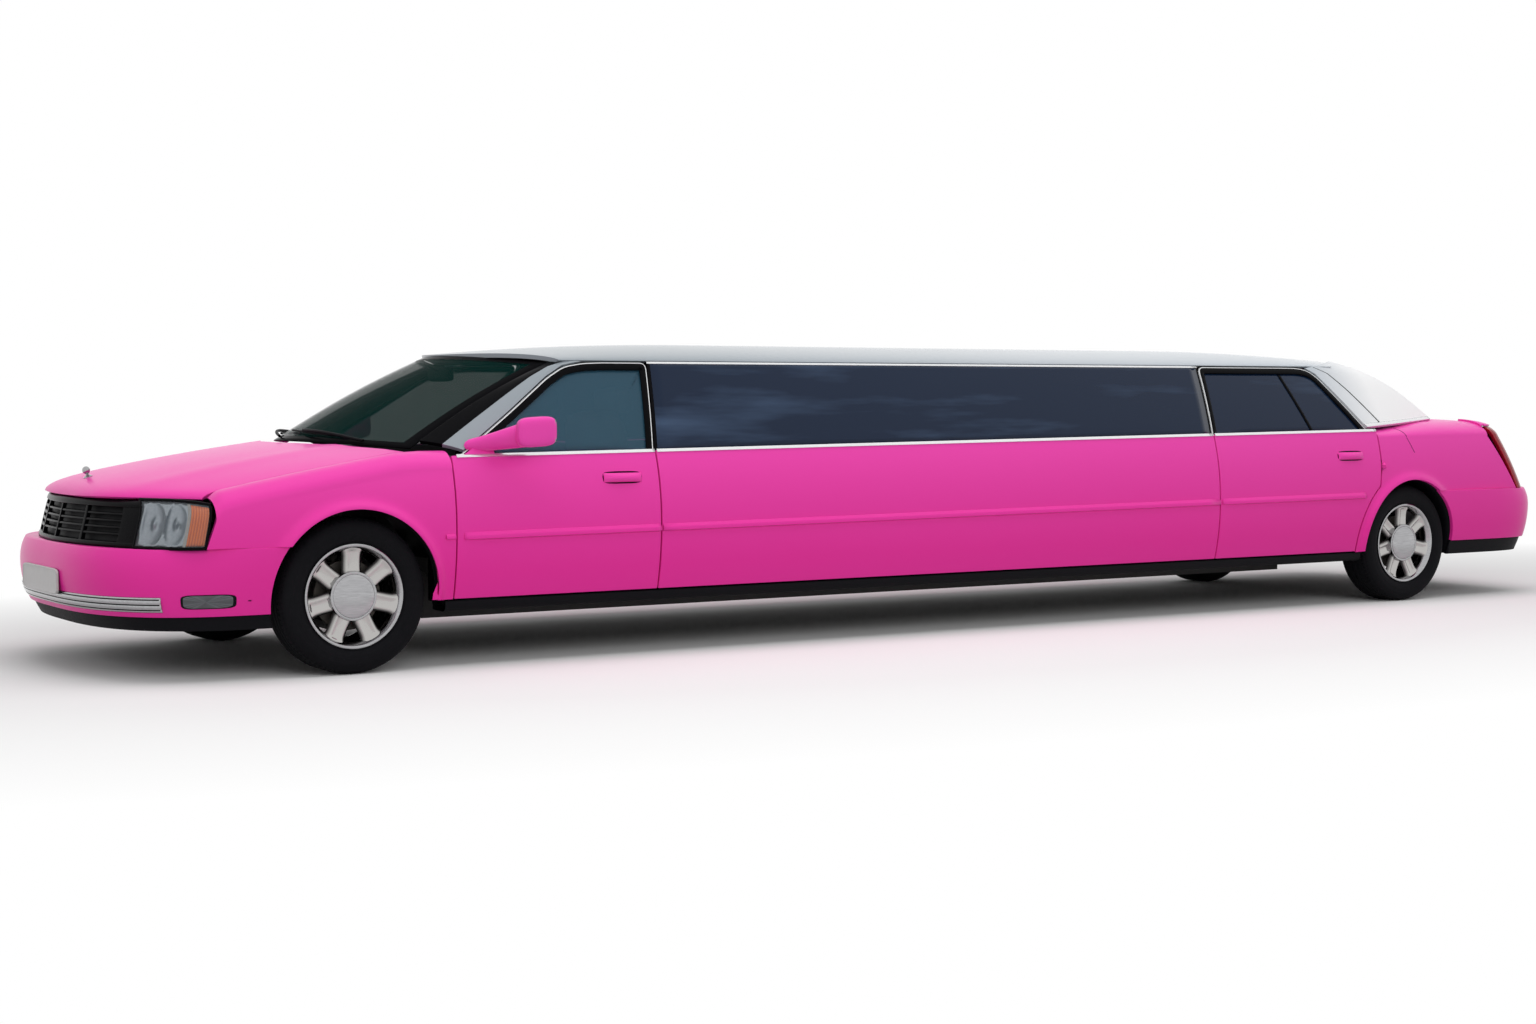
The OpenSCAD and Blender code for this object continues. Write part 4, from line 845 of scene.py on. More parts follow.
def nose_band(w, z, out=0.0):
    """The front bumper's surface, from wheel arch to wheel arch, moved out by a distance."""
    start = np.sqrt(FRONT_ARCH_R ** 2 - (z - TYRE_R) ** 2)
    reach = NOSE - bulge(z, BUMPER_BASE, NOSE_FULL_Z, BUMPER_TOP, 40, 26) + out
    x, y = end_plan(w, start, reach, side_y(FA + start, np.maximum(z, LOW_SIDE_Z)) + out, NOSE_POWER)
    return points(FA + x, y, z)


def tail_band(w, z, out=0.0):
    """The rear bumper's surface, squarer in plan than the front one."""
    start = np.sqrt(REAR_ARCH_R ** 2 - (z - TYRE_R) ** 2)
    reach = REAR_OVERHANG - bulge(z, REAR_BUMPER_BASE, TAIL_FULL_Z, REAR_BUMPER_TOP, 26, 40) + out
    x, y = end_plan(w, start, reach, side_y(RA - start, np.maximum(z, LOW_SIDE_Z)) + out + 6, TAIL_BAND_POWER)
    return points(RA - x, y, z)


def band(skin, w_from, w_to, z_from, z_to, nu, nv, out=0.0):
    """A level strip of one of these surfaces."""
    u, v = shares(nu, nv)
    return skin(mix(w_from, w_to, u), mix(z_from, z_to, v), out)


def ledge(skin, w_from, w_to, z):
    """A level shelf that runs 150 mm inwards from one of these surfaces."""
    w = np.linspace(w_from, w_to, 121)[:, None]
    return skin(w, z + 0 * w, mix(-4, -150, np.linspace(0, 1, 5)))


print("the front bumper reaches", round(float(nose_band(0.5, NOSE_FULL_Z)[0] - FA), 1), "mm ahead of the axle")

# %% Bumpers, valances and sills
SILL_SECTION = np.array([[762, 247], [850, 246], [868, 247], [884, 252], [891, 262], [893, 274], [893, 288],
                         [890, 294], [880, 294.5], [762, 294.5]])
nose_skin = band(nose_band, 1, 0, BUMPER_BASE, BUMPER_TOP, 144, 18)
tail_skin = band(tail_band, 0, 1, REAR_BUMPER_BASE, REAR_BUMPER_TOP, 144, 18)
valances = [band(nose_band, 1, 0, 216, BUMPER_BASE - 1, 120, 6, -14),
            band(tail_band, 0, 1, 256, REAR_BUMPER_BASE - 1, 120, 6, -14)]
u = np.linspace(0, 1, 40)[:, None]
sill = points(mix(FA - FRONT_ARCH_R - 48, RA + REAR_ARCH_R + 6, u), SILL_SECTION[:, 0], SILL_SECTION[:, 1])
piece("front_bumper_skin", [nose_skin], PINK, 24, 3, stands_for="front_bumper")
piece("rear_bumper_skin", [tail_skin], PINK, 24, 3, stands_for="rear_bumper")
piece("black_valances", valances, BLACK_TRIM, 18, 3, stands_for="lower_trim")
piece("black_sills", both(sill), BLACK_TRIM, wrap_v=True)
piece("nose_ledge", [ledge(nose_band, 1, 0, BUMPER_TOP - 2)], PINK, 4)
piece("bumper_ledge", [ledge(tail_band, 0.1, 0.9, REAR_BUMPER_TOP - 2)], PINK, 4)

# %% [markdown]
# ## Chrome bar, lamps and plate on the front bumper
# The bar is a strip of the bumper's own surface moved outwards, with three slots pressed along it and painted black.
# The lamps are oblong lenses on the same surface, and the plate is a blank sheet with rounded corners and a rim.

# %% Chrome bar
BAR_LOW, BAR_HIGH, BAR_END, SLOT_END, SLOT_HALF = 297, 363, 5.6 / 32, 5.7 / 32, 2.6
u, v = shares(120, 24)
ridge = 9 * np.sqrt(np.clip(np.sin(pi * v), 0, 1)) - 3.2 * (0.5 - 0.5 * np.cos(6 * pi * v)) * np.sin(pi * v)
bar = nose_band(mix(1 - BAR_END, BAR_END, u), mix(BAR_LOW, BAR_HIGH, v), ridge)
slots = []
for v_mid, out in ((1 / 6, 5.3), (0.5, 6.4), (5 / 6, 5.3)):
    z_mid = mix(BAR_LOW, BAR_HIGH, v_mid)
    slots.append(band(nose_band, 1 - SLOT_END, SLOT_END, z_mid - SLOT_HALF, z_mid + SLOT_HALF, 120, 2, out))
piece("chrome_bar", [bar], CHROME, 6, stands_for="lower_bar")
piece("chrome_bar_slots", slots, GLOSS_BLACK, 1)

# %% Bumper lamps
def oblong(rings, w_mid=2.7 / 32, z_mid=341, w_half=1.42 / 32, z_half=27, power=2 / 5):
    """Rings of a superellipse on the bumper: each ring is a share of the full size at its own height."""
    angle = round_angles(72)
    size, out = np.asarray(rings, float).T
    across = signed_power(np.cos(angle), power) * size
    upward = signed_power(np.sin(angle), power) * size
    return nose_band(w_mid + w_half * across, z_mid + z_half * upward, out + 0 * across)[::-1]


lens_rings = [[1, -2], [1, 3], [0.96, 5], [0.85, 6], [0.5, 6.5], [0.001, 6.6]]
rim_rings = [[1.11, -2], [1.11, 1.5], [1.08, 2.6], [1.0, 2.6]]
piece("bumper_lamp_lenses", both(oblong(lens_rings)), SMOKED_LENS, stands_for="bumper_lamps", wrap_u=True)
piece("bumper_lamp_rims", both(oblong(rim_rings)), BLACK_TRIM, wrap_u=True)

# %% Blank plate
PLATE_HALF_W, PLATE_HALF_H, PLATE_Z = 260, 55, 401


def slab(x, y_half, z_mid, z_half, rings, power=2 / 9):
    """A plate facing forward: rings of a rounded rectangle, each with its own margin and depth."""
    angle = round_angles(96)
    margin, out = np.asarray(rings, float).T
    y = signed_power(np.cos(angle), power) * np.maximum(0.01, y_half - margin)
    z = signed_power(np.sin(angle), power) * np.maximum(0.01, z_half - margin)
    return points(x + out, y, z_mid + z)


plate_rings = [[0, -1], [0, 7], [1.5, 9], [5, 9.5], [7, 8], [10, 7.4], [30, 7.4], [60, 7.4]]
plate = slab(FA + NOSE, PLATE_HALF_W, PLATE_Z, PLATE_HALF_H, plate_rings)
piece("blank_number_plate", [plate], PLATE, stands_for="number_plate", wrap_u=True)

# %% [markdown]
# ## Grille and headlamps
# Both lie on one mask that sweeps round the nose above the bumper. The grille is a black frame with level bars and
# upright posts. A headlamp has two chromed bowls and an amber end, behind a clear lens with an arched top.

# %% Mask of the nose
LAMP_TOP, GRILLE_TOP, MASK_TOP = 758, 754, 782
LAMP_LOW = BUMPER_TOP + SEAT_GAP
MASK_BEND, MASK_SHOULDER, MASK_POWER, MASK_HALF_W = 674, 764, 1.8, 905


def mask(w, z, out=0.0):
    """The nose above the bumper: as wide as the wing's side, then narrowing with the wing's rounded shoulder."""
    t = share(z, LAMP_LOW, MASK_TOP)
    start = mix(TIP_LOW, TIP_TOP, t)
    rise = share(z, MASK_BEND, MASK_SHOULDER)
    wide = mix(HOOD_HALF_W + GAP, side_y(FA + start, np.minimum(z, MASK_BEND)), np.sqrt(1 - rise ** 2))
    x, y = end_plan(w, start, FRONT_OVERHANG - mix(60, 118, t) + out, wide + out, MASK_POWER)
    return points(FA + x, y, z)


def tube_bar(w_end, z_from, z_to, nu, out, deep):
    """A bar along the mask, from one side to the other: a rounded section of 16 points."""
    u = np.linspace(0, 1, nu + 1)[:, None]
    a = np.linspace(0, 2 * pi, 16, endpoint=False)
    z = (z_from + z_to) / 2 + (z_to - z_from) / 2 * signed_power(np.sin(a), 0.45)
    return mask(mix(1 - w_end, w_end, u), z + 0 * u, out - deep / 2 + deep / 2 * signed_power(np.cos(a), 0.45) + 0 * u)


LAMP_W = end_share(660, MASK_HALF_W, MASK_POWER)
GRILLE_W = end_share(560, MASK_HALF_W, MASK_POWER)
print("grille to share", round(float(GRILLE_W), 3), "and lamps from share", round(float(LAMP_W), 3))

# %% Grille
POST_HALF = 0.004
low, pitch = LAMP_LOW + 26, (GRILLE_TOP - LAMP_LOW - 56) / 5
bars = [tube_bar(LAMP_W, LAMP_LOW + 1, LAMP_LOW + 22, 60, -3, 40),
        tube_bar(LAMP_W, GRILLE_TOP - 30, GRILLE_TOP, 60, 1, 46)]
bars += [tube_bar(GRILLE_W, low + k * pitch - 5, low + k * pitch + 5, 48, -8, 26) for k in range(1, 5)]
grille_ends = band(mask, GRILLE_W, LAMP_W, LAMP_LOW + 1, GRILLE_TOP - 2, 8, 12, -5)
posts = []
for k in range(1, 4):
    w_post = mix(GRILLE_W, 1 - GRILLE_W, k / 4)
    posts.append(band(mask, w_post + POST_HALF, w_post - POST_HALF, LAMP_LOW + 4, GRILLE_TOP - 4, 2, 10, -6))
back = band(mask, 1 - LAMP_W, LAMP_W, LAMP_LOW + 2, GRILLE_TOP - 3, 60, 8, -42)
u, v = shares(60, 4)
shelf = mask(1 - u, BUMPER_TOP - 1 + 0 * u, -6)
shelf = mix(shelf, shelf * (0, 0.7, 1) + points(FA + 480, 0, 0), v[..., None])
piece("grille_bars", bars, GLOSS_BLACK, stands_for="grille", wrap_v=True)
piece("grille_posts", [*posts, *both(grille_ends)], GLOSS_BLACK, 18, 2)
piece("grille_back", [back], BLACK_TRIM, 4)
piece("nose_shelf", [shelf], BLACK_TRIM, 3)

# %% Headlamps
LAMP_INNER, LAMP_OUTER, AMBER_FROM = LAMP_W - 0.004, 0.006, 0.66


def lamp_top(u):
    """The lens's upper edge: level beside the grille, falling by a square to its outer end."""
    return LAMP_TOP - 4 - 34 * np.maximum(0, u - 0.25) ** 2.0


def lamp_sheet(u_from, u_to, nu, nv, out, margin=0.0):
    """Part of the lamp's front between two shares of its width, kept clear of its edge by a margin."""
    s, v = shares(nu, nv)
    u = mix(u_from, u_to, s)
    z = mix(LAMP_LOW + 5 + margin, lamp_top(u) - margin, v)
    return mask(mix(LAMP_INNER, LAMP_OUTER, u), z, out(s, v) if callable(out) else out)


def bowls(s, v):
    """Two round bowls side by side, each with a bulb: depth by the root of what is left of a unit circle."""
    wells = [np.hypot((s - mid) / 0.25, (v - 0.5) / 0.52) for mid in (0.25, 0.75)]
    return -10 - sum(40 * np.sqrt(np.clip(1 - d ** 2, 0, 1)) - 26 * np.exp(-(d / 0.2) ** 2) for d in wells)


lens = lamp_sheet(0, 1, 40, 20, 0)
reflector = lamp_sheet(0.02, AMBER_FROM - 0.04, 40, 20, bowls, 6)
amber = lamp_sheet(AMBER_FROM, 0.985, 16, 16, lambda s, v: -6 - 6 * np.sin(pi * s), 8)
divider = lamp_sheet(AMBER_FROM - 0.05, AMBER_FROM, 4, 12, -5, 4)
piece("headlamp_lenses", both(lens), LENS, 3, stands_for="headlamps")
piece("headlamp_reflectors", both(reflector), REFLECTOR, 2)
piece("headlamp_ambers", both(amber), AMBER, 3)
piece("headlamp_dividers", both(divider), PIPE, 14, 2)
piece("headlamp_housings", both(lamp_sheet(0, 1, 40, 3, -50)), BLACK_TRIM, 4)

# %% Headlamp surrounds
s = np.linspace(0, 1, 60)
w_line = mix(LAMP_INNER, LAMP_OUTER, s)
arch_line = mask(w_line, lamp_top(s) + 4, -3)
foot_line = mask(w_line, LAMP_LOW + 4 + 0 * s, -3)
ends = [mask(w_end, np.linspace(LAMP_LOW + 4, z_end, 24), -3) for w_end, z_end in
        ((LAMP_INNER, lamp_top(0)), (0.008, lamp_top(1)))]
surround = [rim_tube(arch_line, 8), rim_tube(foot_line, 6)] + [rim_tube(line + (0, 0, 1e-6), 6) for line in ends]
piece("headlamp_surrounds", both(*surround), GLOSS_BLACK, wrap_v=True)

# %% [markdown]
# ## Roof, front pillars and sail panels
# The roof is a crowned sheet between two bowed headers: across the car its section is a flat-topped curve, and along
# the car its crown falls at both ends. The front pillars and the sails are ruled from the windows' outlines to the
# edges of the windscreen and the rear window.

# %% Window outlines
FRAME_TOP, POST_LEAN, FRAME_W = RAIL_Z - GAP, 75, 34
FRONT_OUTLINE = np.array([
    [DOOR_LEAD - 52, belt_z(DOOR_LEAD - 52)], [DOOR_LEAD - 330, 1112], [DOOR_LEAD - 560, 1270],
    [DOOR_LEAD - 660, 1322], [DOOR_LEAD - 760, FRAME_TOP - 4], [DOOR_LEAD - 860, FRAME_TOP],
    [DOOR_TRAIL - POST_LEAN + GAP / 2, FRAME_TOP], [DOOR_TRAIL + GAP / 2, belt_z(DOOR_TRAIL)]])
REAR_OUTLINE = np.array([
    [REAR_DOOR_LEAD - GAP / 2, belt_z(REAR_DOOR_LEAD)], [REAR_DOOR_LEAD - POST_LEAN - GAP / 2, FRAME_TOP],
    [RA + 690, FRAME_TOP], [RA + 610, FRAME_TOP - 10], [RA + 555, 1300], [RA + 470, 1190],
    [RA + 315, belt_z(RA + 315)]])
window_line = {"front": rounded(FRONT_OUTLINE, 200, 4), "rear": rounded(REAR_OUTLINE, 200, 4)}
print("window lines of", len(window_line["front"]), "points")

# %% Roof, pillars and sails
HEADER_X, REAR_HEADER_X = FA - 800, REAR_DOOR_TRAIL - 10
UPPER_GAP, PILLAR_FOOT, BAND_CELLS = 9, 0.022, 7
FRONT_DROP, REAR_DROP = 62, 45


def roof_crown(x):
    """Height of the roof's middle: level, falling by a power of 2.2 in front and by a square behind."""
    front = 1 - share(x, HEADER_X + 40, HEADER_X - 1300)
    rear = share(x, REAR_HEADER_X + 1100, REAR_HEADER_X)
    return ROOF_Z - FRONT_DROP * front ** 2.2 - REAR_DROP * rear ** 2


u, v = shares(90, 48)
e = np.cos(pi * v)
x = mix(HEADER_X - 300 * e * e, REAR_HEADER_X + 150 * e * e, u)
edge_z = RAIL_Z + 1
roof = points(x, glass_y(x, RAIL_Z) * e, edge_z + (roof_crown(x) - edge_z) * (1 - np.abs(e) ** 2.4) ** 0.625)
u, v = shares(14, 40)
qx, qz = along(beside(FRONT_OUTLINE, -UPPER_GAP)[:5], mix(PILLAR_FOOT, 1, v))
t = share(qx, DOOR_LEAD - 45, qx[0, -1])
screen_edge = points(mix(FA - 345, HEADER_X - 268, t), mix(750, 632, t), mix(976, RAIL_Z - 6, t) + 24 * np.sin(pi * t))
swell = np.sin(pi * u)
front_pillar = mix(screen_edge, on_glass(qx, qz), u[..., None]) + points(0, 8 * swell, 5 * swell)
u, v = shares(24, 24)
qx, qz = along(beside(REAR_OUTLINE, -UPPER_GAP)[6:2:-1], v)
deck_edge = points(mix(RA - 455, RA + 325, v), mix(668, 590, v), mix(DECK_Z, RAIL_Z + 34, v) + 56 * np.sin(pi * v))
sail = mix(on_glass(qx, qz), deck_edge, u[..., None]) + points(0, 22 * np.sin(pi * u), 10 * (1 - v))
piece("roof_sheet", [roof, *both(front_pillar[BAND_CELLS:], sail)], ROOF_WHITE, 20, 2, stands_for="roof",
      inner=INSIDE_TRIM)
piece("pillar_bands", both(front_pillar[:BAND_CELLS + 1]), GLOSS_BLACK, 20, 2)

# %% [markdown]
# A thin seam crosses each sail, a bright line runs along its foot, and a second seam goes on from there over the
# quarter's shoulder. They are narrow strips lifted off the surface by about a millimetre.

# %% Seams of the sails and quarters
SEAM_W, SEAM_OUT = 3.5, 0.7


def on_sail(u, v, out):
    """A point on the sail panel, moved out sideways: u from the window to the deck, v from the foot to the roof."""
    i, j = u * (sail.shape[0] - 1), v * (sail.shape[1] - 1)
    i0, j0 = np.minimum(i.astype(int), sail.shape[0] - 2), np.minimum(j.astype(int), sail.shape[1] - 2)
    fi, fj = (i - i0)[..., None], (j - j0)[..., None]
    low, high = (mix(sail[i0, j], sail[i0 + 1, j], fi) for j in (j0, j0 + 1))
    return mix(low, high, fj) + points(0, out, 0.6 * out)


u, v = shares(3, 40)
sail_seam = on_sail(0.2 + 0.014 * u, mix(0.005, 0.97, v), 0.8)
u, v = shares(40, 4)
sail_foot = on_sail(mix(0, 0.985, u), 0.035 * v, 1 + 3 * np.sin(pi * v))
u, v = shares(2, 24)
seam_side = on_side(mix(RA - 34, RA + 12, v) + SEAM_W * (0.5 - u), mix(856, QUARTER_S - 2, v), SEAM_OUT)
u, v = shares(2, 16)
x = RA + mix(12, 34, v) + SEAM_W * (0.5 - u)
back = share(x, REAR_DOOR_TRAIL - GAP / 2, RA - LAMP_LEAD)
seam_top = quarter_shoulder(x, back, 0.75 * v) + points(0, SEAM_OUT, 0.5)
piece("sail_seams", both(sail_seam), GLOSS_BLACK, 1)
piece("sail_foot_lines", both(sail_foot), BRIGHT_LINE, 2)
piece("quarter_seams", both(seam_side, seam_top), GLOSS_BLACK, 1)

# %% [markdown]
# ## Glass
# Windscreen and rear window are bowed sheets. A door's pane is ruled from the window line up to its frame, and the
# stretched part has one long window on each side.

# %% Windscreen and rear window
def screen_half(u):
    """Half-width of the windscreen at a share of its height."""
    return mix(735, 616, u)


def on_screen(e, u):
    """The windscreen: e goes across from -1 to 1, u up the glass. Its bow and its sag go with the square of e."""
    return points(mix(FA - 55, HEADER_X + 4.4, u) - 275 * e * e, screen_half(u) * e,
                  mix(984, roof_crown(HEADER_X) - 6, u) + 20 * np.sin(pi * u) - mix(24, 34, u) * e * e)


u, v = shares(40, 48)
e = 1 - 2 * v
x = mix(REAR_HEADER_X - 14, RA - 452, u) + mix(120, 20, u) * e * e
z = mix(roof_crown(REAR_HEADER_X) - 8, DECK_Z + 14, u) + 52 * np.sin(pi * u) - mix(30, 8, u) * e * e
piece("windscreen_glass", [on_screen(e, u)], SCREEN_GLASS, 5, stands_for="windscreen")
piece("rear_window_glass", [points(x, mix(575, 640, u) * e, z)], DARK_GLASS, 5, stands_for="rear_window")

# %% Side windows
PANE_BACK, PANE_FOOT = 13.6, 0.3


def pane(line):
    """Ruled from the window line (v = 0) to a line 24 mm inside the frame (v = 1), behind the frame."""
    edge = beside(line, FRAME_W - 10)
    u, v = shares(len(edge) - 1, 12)
    x = mix(edge[0, 0], edge[-1, 0], u)
    low = belt_z(x) + PANE_FOOT
    top_x, top_z = edge[:, :1] + 0 * v, np.maximum(edge[:, 1:], low + 4)
    return on_glass(mix(x, top_x, v), mix(low, top_z, v), -PANE_BACK)


MID_LEAD, MID_TRAIL = DOOR_TRAIL - GAP / 2, REAR_DOOR_LEAD + GAP / 2
u, v = shares(60, 14)
x = mix(MID_LEAD - 14, MID_TRAIL + 14, u)
mid_pane = on_glass(x - POST_LEAN * v, mix(belt_z(x) + PANE_FOOT, RAIL_Z + 0.7, v), 1)
piece("stretch_windows", both(mid_pane), DARK_GLASS, 0.8, stands_for="mid_windows")
for place, glass in (("front", DOOR_GLASS), ("rear", DARK_GLASS)):
    on_doors(place, f"{place}_pane", pane(window_line[place]), glass, 5, stands_for=f"{place}_glass")

# %% [markdown]
# ## Window frames and bright lines
# Each door carries a black frame round its glass, with a thin bright line along the frame's outer edge. Another bright
# moulding runs along the window line for the whole length of the car. All are strips carried along a line.

# %% Window frames
def frame_strip(line, v_from, v_to, out, cells):
    """A strip beside the outline, from one share of the frame's width to another, swelling by a half sine."""
    root = np.array([0, 14])
    near = beside(line, FRAME_W)
    outside, inside = (np.vstack([edge[:1] - root, edge, edge[-1:] - root]) for edge in (line, near))
    across = mix(inside[:, None], outside[:, None], np.linspace(v_from, v_to, cells + 1)[:, None])
    swell = out + 2.5 * np.sin(pi * np.linspace(0, 1, cells + 1))
    return on_glass(across[..., 0], across[..., 1], swell)


for place, line in window_line.items():
    on_doors(place, f"{place}_frame", frame_strip(line, 0, 0.86, -3.5, 8), GLOSS_BLACK, 9)
    on_doors(place, f"{place}_bright_line", frame_strip(line, 0.84, 1, -2.2, 6), BRIGHT_LINE, 9)

# %% Belt lines and side mouldings
STRIP_ROWS = np.array([0, 0.04, 0.1, 0.3, 0.52, 0.6, 0.8, 0.96, 1])
STRIP_OUT = np.interp(STRIP_ROWS, [0, 0.1, 0.55, 1], [0, 1, 1, 0])
RUB_FRONT_X, RUB_RUN, RUB_LOW, RUB_HIGH, SLIM_RUN = 1840, 4458, 586, 620, 90


def strip(x_from, x_to, height_at, tall, out, cells=40, slim=0.0):
    """A moulding along the body side: square below, a flat face, and a slope that catches the light above. Its leading
    end can be slimmer by a share, so that a door's moulding clears the panel ahead when the door opens."""
    x = mix(x_from, x_to, np.linspace(0, 1, cells + 1)[:, None])
    z = height_at(x) + tall * (STRIP_ROWS - 0.5)
    full = 1 - slim * (1 - np.clip((x_from - x) / SLIM_RUN, 0, 1))
    return points(x, side_y(x, np.minimum(z, belt_z(x))) + out * full * STRIP_OUT, z)


def rub_strip(x_from, x_to, tall=34, out=11, cells=40, slim=0.0):
    """The body-side moulding, whose middle rises a little towards the tail."""
    height_at = lambda x: mix(RUB_LOW, RUB_HIGH, (RUB_FRONT_X - x) / RUB_RUN)
    return strip(x_from, x_to, height_at, tall, out, cells, slim)


def belt_strip(x_from, x_to, cells=40):
    """The bright moulding just below the window line."""
    return strip(x_from, x_to, lambda x: belt_z(x) - 2, 15, 5, cells)


rub_mid = rub_strip(DOOR_TRAIL - 6, REAR_DOOR_LEAD + 6)
rub_wing = rub_strip(FA - FRONT_ARCH_R - 30, DOOR_LEAD + 6, 24, 8)
piece("stretch_side_mouldings", both(rub_mid, rub_wing), PINK, 3)
piece("stretch_belt_lines", both(belt_strip(DOOR_TRAIL - 6, REAR_DOOR_LEAD + 6, 60)), BRIGHT_LINE, 3)
on_doors("front", "front_side_moulding", rub_strip(DOOR_LEAD - 36, DOOR_TRAIL + 6, slim=0.5), PINK, 3)
on_doors("front", "front_belt_line", belt_strip(DOOR_LEAD - 26, DOOR_TRAIL + 6), BRIGHT_LINE, 3)
on_doors("rear", "rear_side_moulding", rub_strip(REAR_DOOR_LEAD - 14, RA + 392, cells=60, slim=0.5), PINK, 3)
on_doors("rear", "rear_belt_line", belt_strip(REAR_DOOR_LEAD - 6, REAR_DOOR_TRAIL + 8), BRIGHT_LINE, 3)

# %% Roof rail lines and split bars
SPLIT_FOOT, SPLIT_HEAD, SPLIT_W = -2425, -2332, 22
u, v = shares(60, 6)
x = mix(MID_LEAD - 70, MID_TRAIL - 70, u)
rail = on_glass(x, RAIL_Z - 2 - 11 * (1 - v), 1.4 + 3 * np.sin(pi * v))
u, v = shares(4, 20)
split = on_glass(mix(SPLIT_FOOT, SPLIT_HEAD, v) + SPLIT_W * (0.5 - u), mix(belt_z(SPLIT_FOOT - 5), RAIL_Z - 46, v),
                 -10 + 3 * np.sin(pi * u))
piece("stretch_rail_lines", both(rail), BRIGHT_LINE, 1)
on_doors("rear", "quarter_split", split, GLOSS_BLACK, 6)

# %% Door handles
def handle(x_mid, z_mid, long=196, tall=42, out=24):
    """A pull on the door: the side's own surface, lifted by the square root of two half sines."""
    u, v = shares(36, 16)
    lift = out * np.sqrt(np.sin(mix(0.06, pi - 0.06, u)) * np.sin(mix(0.12, pi - 0.12, v))) - 1
    return on_side(x_mid + long * (0.5 - u), z_mid + tall * (v - 0.5), lift)


for place, spot in (("front", (FA - 1290, 818)), ("rear", (RA + 496, 846))):
    on_doors(place, f"{place}_handle", handle(*spot), PINK, 6)
    # Painted shadow: a black sheet a little larger than the pull, lying under it as the dark outline of its recess
    on_doors(place, f"{place}_handle_seat", handle(*spot, long=210, tall=56, out=3), GLOSS_BLACK, 3)

# %% [markdown]
# ## Tail: lamps and trunk lid
# The tail is a second mask, leaning forward as it rises. The lamps take its outer ends and the lid the rest, folding
# from the deck down the tail in one sheet.

# %% Tail lamps
LAMP_TOP_Z, TAIL_POWER, TAIL_HALF_W, LAMP_INNER_Y = 1000, 2.3, 890, 668
TAIL_SET_LOW, TAIL_SET_TOP = 70, 262


def quarter_y(x, z):
    """Half-width of the quarter: the body side, then the shoulder's ellipse above it."""
    t = np.clip((z - QUARTER_S) / (DECK_Z - QUARTER_S), 0, 1)
    return np.where(z < QUARTER_S, side_y(x, z), mix(DECK_HALF_W, side_y(x, QUARTER_S), np.sqrt(1 - t ** 2)))


def tail_start(z):
    """Where the lamp's leading edge lies behind the rear axle: it leans forward with the height."""
    return mix(LAMP_FOOT, LAMP_LEAD + 14, share(z, REAR_BUMPER_TOP, LAMP_TOP_Z))


def tail_mask(w, z):
    """The tail above the bumper: a superellipse in plan whose reach shrinks as it rises."""
    start = tail_start(z)
    reach = REAR_OVERHANG - mix(TAIL_SET_LOW, TAIL_SET_TOP, share(z, REAR_BUMPER_TOP, LAMP_TOP_Z))
    x, y = end_plan(w, start, reach, quarter_y(RA - start, z), TAIL_POWER)
    return points(RA - x, y, z)


u, v = shares(24, 30)
z = mix(REAR_BUMPER_TOP + SEAT_GAP, LAMP_TOP_Z, v)
inner_w = end_share(LAMP_INNER_Y, quarter_y(RA - tail_start(z), z), TAIL_POWER)
tail_lamp = tail_mask(mix(0.006, inner_w, u), z)
s, r = shares(24, 8)
quarter_end = shoulder(RA - LAMP_LEAD, QUARTER_S, DECK_HALF_W, DECK_Z, mix(0.424, 1, s))
lamp_brow = tail_lamp[:, -1:] + points(0, 0, 1 + 0 * s)
corner_cap = mix(quarter_end, lamp_brow, r[..., None]) + points(0, 0, 5 * np.sin(pi * r))
piece("tail_lamp_lenses", both(tail_lamp), RED_LENS, 22, 3, stands_for="tail_lamps")
piece("tail_corners", both(corner_cap), PINK, 10)

# %% Trunk lid
LID_HALF_W, LID_FOLD = DECK_HALF_W - GAP, 0.55
u, v = shares(64, 40)
e = 1 - 2 * v
y = LID_HALF_W * e
t = np.maximum(0, u - LID_FOLD) / (1 - LID_FOLD)
z = mix(LAMP_TOP_Z, REAR_BUMPER_TOP + GAP + 4, t)
edge_w = end_share(np.abs(y), quarter_y(RA - LAMP_LEAD, LAMP_TOP_Z), TAIL_POWER)
edge_x = tail_mask(edge_w, LAMP_TOP_Z + 0 * y)[..., 0]
s = np.minimum(1, u / LID_FOLD)
deck = points(mix(RA - 506, edge_x + 14, s), y, DECK_Z + 14 * (1 - e * e) - 20 * s ** 4)
fall = points(tail_mask(end_share(np.abs(y), TAIL_HALF_W, TAIL_POWER), z)[..., 0], y, z)
lid = np.where((u < LID_FOLD)[..., None], deck, fall)
piece("trunk_lid_sheet", [lid], PINK, 18, 3, "boot_lid", "trunk_lid")

# %% [markdown]
# ## Door mirrors
# A mirror housing is a rounded box, so a superellipsoid with powers between those of a ball and of a cube gives its
# form. It stands on an arm from a plate at the front corner of the door's window.

# %% Door mirrors
def superellipsoid(middle, half, count, power):
    """Rounded box: cosines and sines of two angles, each raised to the same power below 1."""
    u, v = shares(2 * count, count)
    a, b = 2 * pi * u[:-1], pi * (v[:-1] - 0.5)
    soft = lambda s: signed_power(s, power)
    return np.asarray(middle) + points(half[0] * soft(np.cos(a)) * soft(np.cos(b)),
                                       half[1] * soft(np.sin(a)) * soft(np.cos(b)), half[2] * soft(np.sin(b)))


